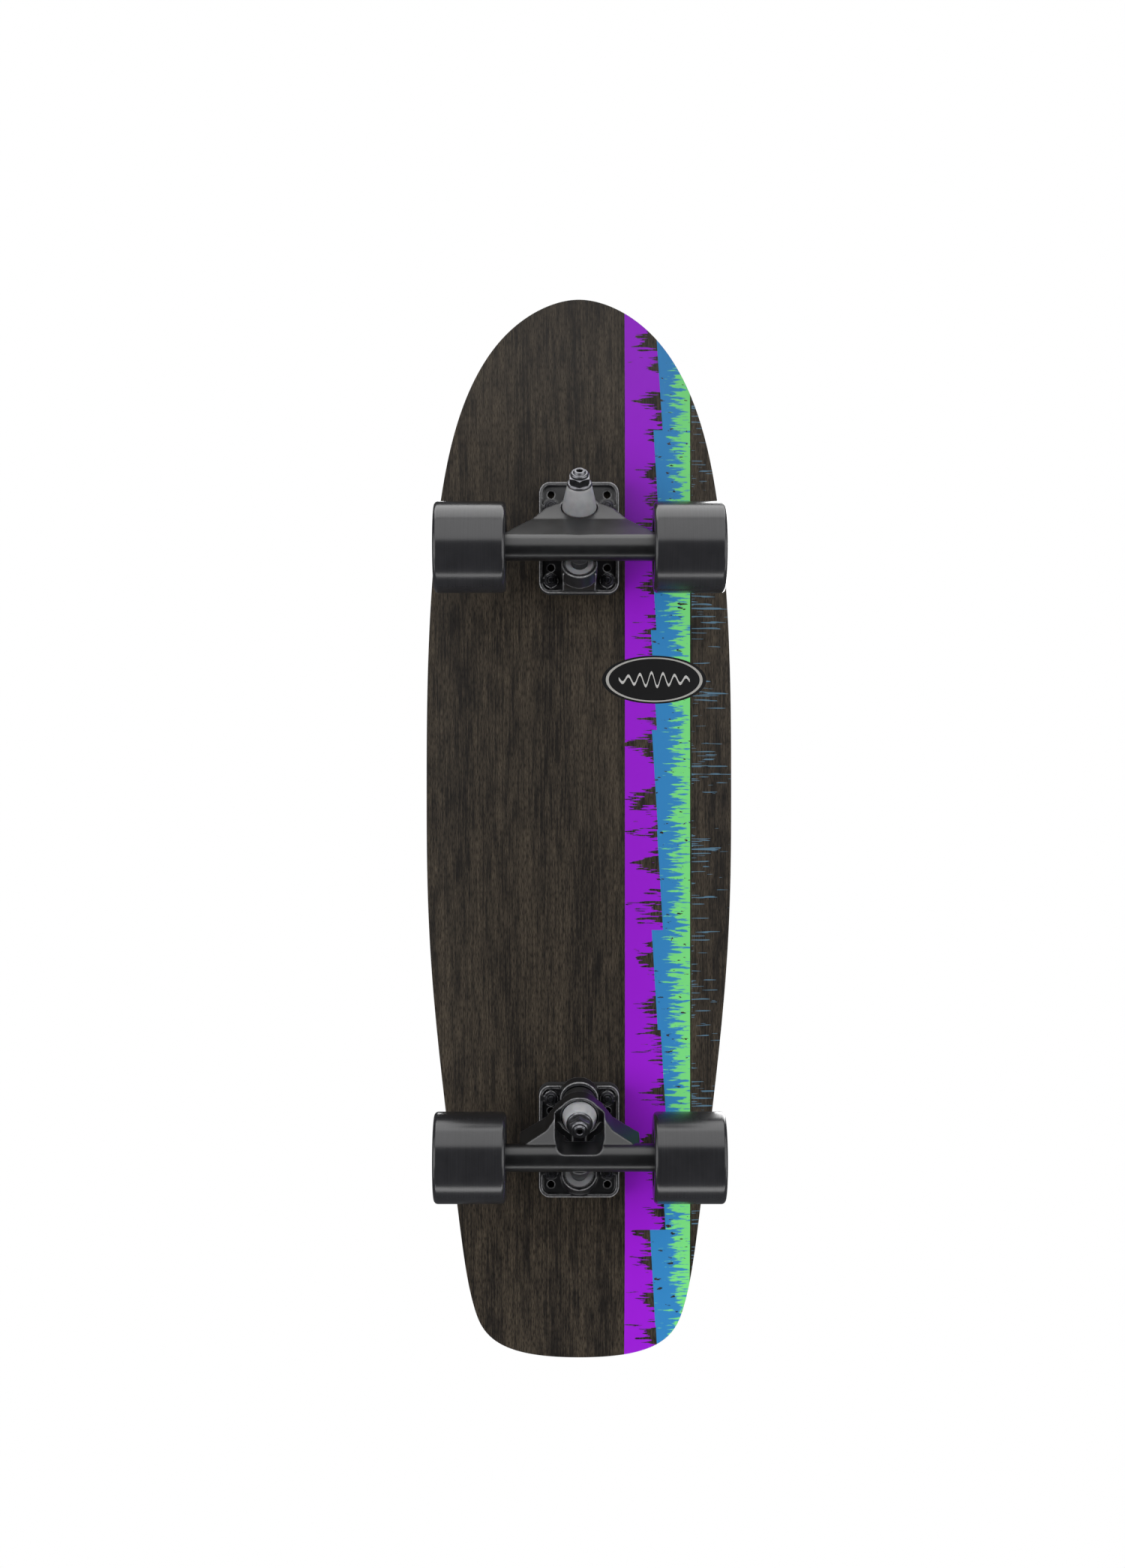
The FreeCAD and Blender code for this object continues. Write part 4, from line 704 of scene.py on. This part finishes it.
for number in range(int(-HALF / GRID), int(HALF / GRID) + 1):
    slice_all(blank, (number * GRID * MM, 0, 0), (1, 0, 0))
for number in range(int(NOSE / GRID), int(TAIL / GRID) + 1):
    slice_all(blank, (0, number * GRID * MM, 0), (0, 1, 0))
raised = bmesh.ops.extrude_face_region(blank, geom=blank.faces[:], use_keep_orig=True)
top_verts = [v for v in raised["geom"] if isinstance(v, bmesh.types.BMVert)]
bmesh.ops.translate(blank, verts=top_verts, vec=(0, 0, THICK * MM))
bmesh.ops.recalc_face_normals(blank, faces=blank.faces)
rim = [e for e in blank.edges if len(e.link_faces) == 2
       and abs(e.link_faces[0].normal.z) + abs(e.link_faces[1].normal.z) < 1.01
       and max(abs(f.normal.z) for f in e.link_faces) > 0.9]
bmesh.ops.bevel(blank, geom=rim, offset=RIM * MM, offset_type="OFFSET", affect="EDGES",
                segments=4, profile=0.5, material=-1, clamp_overlap=True)
print("rim edges:", len(rim), "faces:", len(blank.faces))

# %% Drill the screw holes
HOLE, SINK, SINK_DEPTH = 2.65, 4.9, 2.6
bolt_boxes = solids_of("mount_bolts")
drills = bmesh.new()
for low, high in bolt_boxes:
    drill = turned([(0, -3), (HOLE, -3), (HOLE, THICK - SINK_DEPTH), (SINK, THICK + 0.2),
                    (SINK, THICK + 3), (0, THICK + 3)], steps=32)
    middle = (low + high) / 2
    absorb(drills, drill, Matrix.Translation((middle.x * MM, middle.y * MM, 0)))
blank = carved(blank, drills, "DIFFERENCE")
print("holes:", len(bolt_boxes), "faces:", len(blank.faces))

# %% [markdown]
# Pressing lifts each point by how far it is up the rail arc and up the kick. The sheet keeps its
# thickness square to its surface, so heights are stretched where it slopes.

# %% Part the plies and press the blank
for number in range(1, PLIES):
    slice_all(blank, (0, 0, number * PLY * MM), (0, 0, 1))
FLAT_HALF, RAIL_RADIUS = 35.0, 385.0
KICKS = ((-1, NOSE + 110, 350.0, math.radians(8)), (1, TAIL - 117, 250.0, math.radians(12)))


def pressed(px, py):
    """Lift and slopes of the mould at a point of the plan, in millimetres."""
    out = max(abs(px) - FLAT_HALF, 0)
    root = math.sqrt(RAIL_RADIUS ** 2 - out ** 2)
    lift, slope_x, slope_y = RAIL_RADIUS - root, out / root, 0.0
    for sign, start, radius, angle in KICKS:
        past = sign * (py - start)
        if past > 0:
            arc = min(past, radius * math.sin(angle))
            bent = math.sqrt(radius ** 2 - arc ** 2)
            lift += radius - bent + (past - arc) * math.tan(angle)
            slope_y = arc / bent
    return lift, slope_x, slope_y


for face in blank.faces:
    middle = face.calc_center_median() / MM
    if face.normal.z < -0.9:
        face.material_index = 0
    elif face.normal.z > 0.9:
        face.material_index = 3
    else:
        face.material_index = 1 + int(middle.z // PLY) % 2
for vert in blank.verts:
    lift, slope_x, slope_y = pressed(vert.co.x / MM, vert.co.y / MM)
    stretch = math.sqrt(1 + slope_x ** 2 + slope_y ** 2)
    vert.co.z = deck_low.z + vert.co.z * stretch + lift * MM
bmesh.ops.recalc_face_normals(blank, faces=blank.faces)
deck = finished("deck_pressed", blank, [printed_maple, long_ply, cross_ply, top_veneer], "board",
                ["deck"], 40.0)
keep_node("grip_tape", grip_sheet)
print("deck triangles:", sum(len(p.vertices) - 2 for p in deck.data.polygons))

# %% [markdown]
# ## Screws and lock nuts
#
# Four machine screws with flat heads go down through the deck, the riser pad and the plate. Each
# is turned with a thread, drawn as fine rings, and has a hexagon socket in its head. The nuts are
# hexagons chamfered on a lathe, which leaves a curved edge on each flat, with a nylon locking ring
# rolled into the collar.

# %% Threads, hexagons and lock nuts


def thread(radius, start, end, pitch, depth):
    """Points of a thread's outline from start to end, as a zigzag in millimetres."""
    points, count = [], max(int(abs(end - start) / pitch), 1)
    step = (end - start) / count
    for number in range(count):
        points.append((radius - depth, start + step * (number + 0.1)))
        points.append((radius, start + step * (number + 0.5)))
    return points + [(radius - depth, end)]


def hexagon(flats, low, high, slot=0):
    """A hexagonal bar from low to high along Z, in millimetres."""
    bar = bmesh.new()
    bmesh.ops.create_circle(bar, cap_ends=True, segments=6, radius=flats / math.sqrt(3) * MM)
    bmesh.ops.translate(bar, verts=bar.verts, vec=(0, 0, low * MM))
    grown = bmesh.ops.extrude_face_region(bar, geom=bar.faces[:], use_keep_orig=True)
    top = [v for v in grown["geom"] if isinstance(v, bmesh.types.BMVert)]
    bmesh.ops.translate(bar, verts=top, vec=(0, 0, (high - low) * MM))
    bmesh.ops.recalc_face_normals(bar, faces=bar.faces)
    for face in bar.faces:
        face.material_index = slot
    return bar


def chamfered_hexagon(flats, bore, low, high, both_ends=True):
    """A nut blank: a hexagonal bar cut by a bored and chamfered lathe blank."""
    corner = flats / math.sqrt(3)
    inner = flats / 2 * 0.96
    fall = (corner - inner) * math.tan(math.radians(30))
    start = [(inner, low), (corner, low + fall)] if both_ends else [(corner, low)]
    blank = turned([(bore, low + 0.4), (bore + 0.4, low), *start, (corner, high - fall),
                    (inner, high), (bore + 0.4, high), (bore, high - 0.4)], steps=72)
    return carved(hexagon(flats, low - 1, high + 1), blank, "INTERSECT")


def lock_nut(flats, bore, low, high):
    """A hexagon for two thirds of its height, then a rolled collar over a nylon ring."""
    nut = bmesh.new()
    waist = low + (high - low) * 0.66
    absorb(nut, chamfered_hexagon(flats, bore, low, waist))
    rim = flats / 2 * 0.93
    absorb(nut, turned([(rim - 1.1, waist - 0.4), (rim, waist - 0.4), (rim, high - 1.2, 0.5),
                        (rim - 1.0, high, 0.35), (rim - 1.9, high - 0.1, 0.1),
                        (rim - 1.3, high - 0.9)], steps=48))
    absorb(nut, turned([(bore - 0.15, waist - 0.3, 0.15), (rim - 1.3, waist - 0.3),
                        (rim - 1.5, high - 0.7), (bore - 0.15, high - 0.7, 0.3)],
                       steps=48, slot=1))
    return nut


print("outline points of a thread 10 mm long:", len(thread(2.4, 0, 10, 1.05, 0.4)))

# %% Screws and nuts in place
SCREW, SCREW_NUT = 2.4, 9.5
screws, screw_nuts = bmesh.new(), bmesh.new()
for low, high in bolt_boxes:
    middle, length = (low + high) / 2, high.z - low.z
    shank = turned([(0, 0), (SCREW - 0.9, 0), *thread(SCREW, 0.6, 16, 1.05, 0.4),
                    (SCREW, 16.6), (SCREW, length - 2.7), (4.65, length - 0.35, 0.15),
                    (4.65, length, 0.15), (0, length)], steps=32)
    socket = hexagon(3.2, length - 2.0, length + 1.0)
    where = Matrix.Translation((middle.x * MM, middle.y * MM, low.z * MM))
    absorb(screws, carved(shank, socket, "DIFFERENCE"), where)
for low, high in solids_of("mount_nuts"):
    middle, height = (low + high) / 2, high.z - low.z
    where = Matrix.Translation((middle.x * MM, middle.y * MM, high.z * MM))
    turn = Matrix.Rotation(math.pi, 4, "X")
    absorb(screw_nuts, lock_nut(SCREW_NUT, SCREW, 0, height), where @ turn)
finished("screws", screws, [black_steel], "board", ["mount_bolts"])
finished("screw_nuts", screw_nuts, [black_steel, lock_nylon], "board", ["mount_nuts"])
print("screw length in mm:", round(length, 1))

# %% [markdown]
# ## Castings
#
# A casting has no sharp corners: the sand or the die rounds them all, inside and out, and the coat
# fills them a little more. Bevelling every edge of such a shape fails where many meet, so the CAD
# shape is copied, its loose triangles are merged, and it's remeshed as fine voxels and relaxed.
# That rounds every corner by about a millimetre and leaves the flats flat.

# %% Castings softened by remeshing


def cast_copy(name, material, body, voxel, relax):
    """A CAD node's shape with cast corners, standing for the node."""
    merged = bmesh.new()
    merged.from_mesh(nodes[name].data)
    bmesh.ops.remove_doubles(merged, verts=merged.verts, dist=2e-6)
    mesh = bpy.data.meshes.new(name + "_merged")
    merged.to_mesh(mesh)
    merged.free()
    helper = bpy.data.objects.new(name + "_merged", mesh)
    bpy.context.scene.collection.objects.link(helper)
    remesh = helper.modifiers.new("cast", "REMESH")
    remesh.mode, remesh.voxel_size = "VOXEL", voxel * MM
    ease = helper.modifiers.new("relax", "SMOOTH")
    ease.factor, ease.iterations = 0.5, relax
    result = bmesh.new()
    result.from_object(helper, bpy.context.evaluated_depsgraph_get())
    bpy.data.objects.remove(helper)
    thing = finished(name + "_casting", result, [material], body, [name],
                     60.0)
    print(name, "casting triangles:", sum(len(p.vertices) - 2 for p in thing.data.polygons))
    return thing


for truck in ("front", "rear"):
    cast_copy(f"{truck}_baseplate", plate_coat, "board", 0.62, 3)
    cast_copy(f"{truck}_hanger", hanger_coat, f"{truck}_truck_hanger", 0.66, 6)
    keep_node(f"{truck}_riser_pad", pad_rubber)

# %% [markdown]
# ## Kingpin, washers, bushings and nut
#
# All of these are threaded on one line. It passes through the middle of the board-side washer and
# the middle of the nut, so the CAD boxes of those two give its direction, and the hanger's ring is
# 19 mm along it from the washer's middle. Places along the kingpin are counted from the ring.

# %% The kingpin's line
KINGPIN, KINGPIN_HEX, BORE = 4.76, 14.3, 5.1
RING_HALF = 3
RING_FROM_WASHER = 19.0
HEAD = {"front": (25.0, 29.0), "rear": (20.5, 24.5)}
ROAD_BUSHING = {"front": (22.0, 9.0), "rear": (12.0, 10.4)}
ROAD_WASHER = {"front": 9.2, "rear": 9.6}


def centre_of(name):
    """The middle of a CAD node's box, in metres."""
    low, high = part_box(name)
    return (Vector(low) + Vector(high)) / 2


kingpin_line = {}
for truck in ("front", "rear"):
    washer = centre_of(f"{truck}_board_washer")
    direction = (centre_of(f"{truck}_kingpin_nut") - washer).normalized()
    ring = washer + direction * RING_FROM_WASHER * MM
    kingpin_line[truck] = (ring, direction)
    print(truck, "ring at", [round(c / MM, 1) for c in ring], "leaning",
          round(math.degrees(direction.angle((0, 0, -1))), 1), "degrees")

# %% [markdown]
# The bushings are what lets a truck steer: one end of each sits in its washer and stays with the
# board, the other sits in the hanger's ring and goes with the hanger. Both are poured urethane, a
# barrel on the board side and, on the front truck, a tall cone on the road side. They get rings
# of edges along their height, and they ride on no body: their place is baked into the mesh.

# %% Kingpin stacks
for truck in ("front", "rear"):
    ring, direction = kingpin_line[truck]
    where = aim(ring, direction)
    height, top_radius = ROAD_BUSHING[truck]
    top = RING_HALF + height
    nut_face = top + 2.2
    tip = nut_face + 9.5
    neck, head_end = HEAD[truck]

    pin = bmesh.new()
    absorb(pin, turned([(0, -neck), (KINGPIN, -neck), (KINGPIN, nut_face - 6),
                        *thread(KINGPIN, nut_face - 5.5, tip - 1, 1.06, 0.45),
                        (KINGPIN - 0.9, tip, 0.3), (2.5, tip, 0.2), (2.1, tip - 0.5),
                        (1.9, tip - 6.0, 0.2), (0, tip - 6.8)], steps=56))
    absorb(pin, chamfered_hexagon(KINGPIN_HEX, 0.5, -head_end, -neck + 0.1, False))
    finished(f"{truck}_kingpin_turned", pin, [nut_steel], "board", [f"{truck}_kingpin"],
             where=where)

    cup = turned([(BORE, -20, 0.2), (13, -20, 0.5), (13, -18, 0.5), (11.8, -18, 0.2),
                  (11.4, -18.4, 0.2), (BORE, -18.4, 0.2)], steps=72)
    finished(f"{truck}_cup_washer", cup, [black_steel], "board", [f"{truck}_board_washer"],
             where=where)

    barrel = turned([(BORE, -18.2, 0.4), (10.9, -18.2, 0.5), (12.4, -16.8, 0.9), (12.4, -4.6, 0.9),
                     (11, -3, 0.6), (BORE, -3, 0.4)], steps=72, longest=1.2)
    bushing = finished(f"{truck}_barrel_bushing", barrel, [barrel_urethane], None,
                       [f"{truck}_board_bushing"], where=where)
    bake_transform(bushing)

    cone = turned([(BORE, 3, 0.4), (11, 3, 0.6), (12.5, 4.6, 0.9), (12.4, 7.2, 3.0),
                   (top_radius, top - 1.4, 0.8), (top_radius - 1.3, top, 0.5), (BORE, top, 0.4)],
                  steps=72, longest=1.2)
    bushing = finished(f"{truck}_cone_bushing", cone, [bushing_urethane], None,
                       [f"{truck}_road_bushing"], where=where)
    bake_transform(bushing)

    rim = ROAD_WASHER[truck]
    dish = turned([(BORE, top + 0.1, 0.2), (rim - 1.2, top + 0.1, 0.2), (rim - 0.5, top - 0.4, 0.1),
                   (rim, top, 0.3), (rim - 0.5, nut_face - 0.6, 0.5), (rim - 2.2, nut_face, 0.4),
                   (BORE, nut_face, 0.2)], steps=72)
    finished(f"{truck}_dish_washer", dish, [nut_steel], "board", [f"{truck}_road_washer"],
             where=where)

    nut = lock_nut(KINGPIN_HEX, KINGPIN, nut_face, nut_face + 8)
    finished(f"{truck}_pin_nut", nut, [nut_steel, lock_nylon], "board",
             [f"{truck}_kingpin_nut"], where=where)
    keep_node(f"{truck}_pivot_cup", bushing_urethane)

# %% [markdown]
# ## Axles, rings and axle nuts
#
# The axle is one bar of 8 mm steel right through the hanger, threaded at both ends. A thin speed
# ring stands on each side of every wheel, so that the nut presses on the bearing's inner race and
# never on its shield.

# %% Axle line


def along_x(box):
    """The matrix, half length and half width of a solid that was turned round X."""
    low, high = box
    middle = (low + high) / 2
    return aim(middle * MM, (1, 0, 0)), (high.x - low.x) / 2, (high.z - low.z) / 2


AXLE, AXLE_NUT = 3.97, 12.7
for truck in ("front", "rear"):
    hanger_body = f"{truck}_truck_hanger"
    where, half, _ = along_x(solids_of(f"{truck}_axle")[0])
    bolt_end = [(AXLE - 0.8, half, 0.2), (1.6, half, 0.2), (0, half - 1.2)]
    right_end = [(r, -z, *rest) for r, z, *rest in reversed(bolt_end)]
    right_thread = [(r, -z) for r, z in reversed(thread(AXLE, half - 13, half - 0.9, 1.06, 0.4))]
    bar = turned([*right_end, *right_thread, (AXLE, -half + 13.5), (AXLE, half - 13.5),
                  *thread(AXLE, half - 13, half - 0.9, 1.06, 0.4), *bolt_end], steps=48)
    finished(f"{truck}_axle_bar", bar, [zinc_steel], hanger_body, [f"{truck}_axle"],
             where=where)

    rings = bmesh.new()
    for box in solids_of(f"{truck}_speed_rings"):
        where, half, radius = along_x(box)
        absorb(rings, turned([(AXLE + 0.1, -half, 0.1), (radius, -half, 0.2),
                              (radius, half, 0.2), (AXLE + 0.1, half, 0.1)], steps=40), where)
    finished(f"{truck}_thin_rings", rings, [zinc_steel], hanger_body, [f"{truck}_speed_rings"])

    races = bmesh.new()
    for box in solids_of(f"{truck}_inner_races"):
        where, half, radius = along_x(box)
        absorb(races, turned([(AXLE + 0.05, -half, 0.3), (radius, -half, 0.25), (radius, -1.2),
                              (radius - 0.3, -0.45), (radius - 0.3, 0.45), (radius, 1.2),
                              (radius, half, 0.25), (AXLE + 0.05, half, 0.3)], steps=48), where)
    finished(f"{truck}_ground_inner_races", races, [ground_steel], hanger_body,
             [f"{truck}_inner_races"])

    nuts = bmesh.new()
    for box in solids_of(f"{truck}_axle_nuts"):
        where, half, _ = along_x(box)
        outward = 1 if box[0].x > 0 else -1
        facing = aim((box[0] + box[1]) / 2 * MM, (outward, 0, 0))
        absorb(nuts, lock_nut(AXLE_NUT, AXLE, -half, half), facing)
    finished(f"{truck}_wheel_nuts", nuts, [zinc_steel, lock_nylon], hanger_body,
             [f"{truck}_axle_nuts"])
    keep_node(f"{truck}_bearing_spacers", zinc_steel)
print("axles, rings, races and nuts are turned")

# %% [markdown]
# ## Wheels
#
# Urethane is poured round the core in an open mould and turned true: a flat tread with rounded
# lips, a shallow step on each side face and a funnel down to the bearing. The core is a moulded
# ring with a web between the two bearings. Each bearing shows its ground outer race and a stamped
# shield with a step round its inner edge.

# %% Wheels and bearings
TREAD, HALF_WIDTH, LIP = 32.5, 25.5, 3.0
HALF_TYRE = [(17.5, 14.0), (14.2, 14.0, 0.3), (18.0, 23.2, 0.8), (19.6, 23.6, 0.5),
             (20.4, HALF_WIDTH - 0.4, 0.5), (21.4, HALF_WIDTH, 0.4),
             (TREAD, HALF_WIDTH, LIP)]
HALF_CORE = [(17.5, 14.0, 0.3), (11.0, 14.0, 0.4), (11.0, 5.0), (9.0, 5.0, 0.3)]


def both_halves(half):
    """A section given for one side of a wheel, with its mirror image."""
    return half + [(r, -z, *rest) for r, z, *rest in reversed(half)]


for truck in ("front", "rear"):
    for hand in ("left", "right"):
        corner = f"{truck}_{hand}"
        wheel_body = f"{corner}_wheel"
        where = along_x(solids_of(f"{corner}_tyre")[0])[0]
        tyre = turned(both_halves(HALF_TYRE), steps=144, rounding_steps=10)
        finished(f"{corner}_poured_tyre", tyre, [tyre_urethane], wheel_body, [f"{corner}_tyre"],
                 25.0, where=where)

        core = turned(both_halves(HALF_CORE), steps=96)
        finished(f"{corner}_moulded_core", core, [core_nylon], wheel_body, [f"{corner}_core"],
                 where=where)

        outers = bmesh.new()
        for box in solids_of(f"{corner}_outer_races"):
            where, half, radius = along_x(box)
            absorb(outers, turned([(radius, -half, 0.3), (radius, half, 0.3), (9.2, half, 0.2),
                                   (9.2, 1.2), (9.5, 0.45), (9.5, -0.45), (9.2, -1.2),
                                   (9.2, -half, 0.2)], steps=64), where)
        finished(f"{corner}_ground_outer_races", outers, [ground_steel], wheel_body,
                 [f"{corner}_outer_races"])

        shields = bmesh.new()
        shield_boxes = solids_of(f"{corner}_bearing_shields")
        race_places = [(low.x + high.x) / 2 for low, high in solids_of(f"{corner}_outer_races")]
        for box in shield_boxes:
            middle = (box[0] + box[1]) / 2
            nearest = min(race_places, key=lambda place: abs(place - middle.x))
            facing = aim(middle * MM, (1 if middle.x > nearest else -1, 0, 0))
            absorb(shields, turned([(6.15, -0.45, 0.05), (6.7, -0.45, 0.1), (7.0, -0.15, 0.1),
                                    (8.7, -0.15, 0.1), (9.15, -0.4, 0.05), (9.15, -0.1, 0.05),
                                    (8.8, 0.15, 0.1), (6.9, 0.15, 0.1), (6.6, -0.15, 0.1),
                                    (6.15, -0.15, 0.05)], steps=64), facing)
        finished(f"{corner}_stamped_shields", shields, [shield_strip], wheel_body,
                 [f"{corner}_bearing_shields"])
        keep_node(f"{corner}_ball_cages", cage_nylon)
        keep_node(f"{corner}_bearing_balls", ground_steel)
print("wheels done, tyre", 2 * TREAD, "mm across")
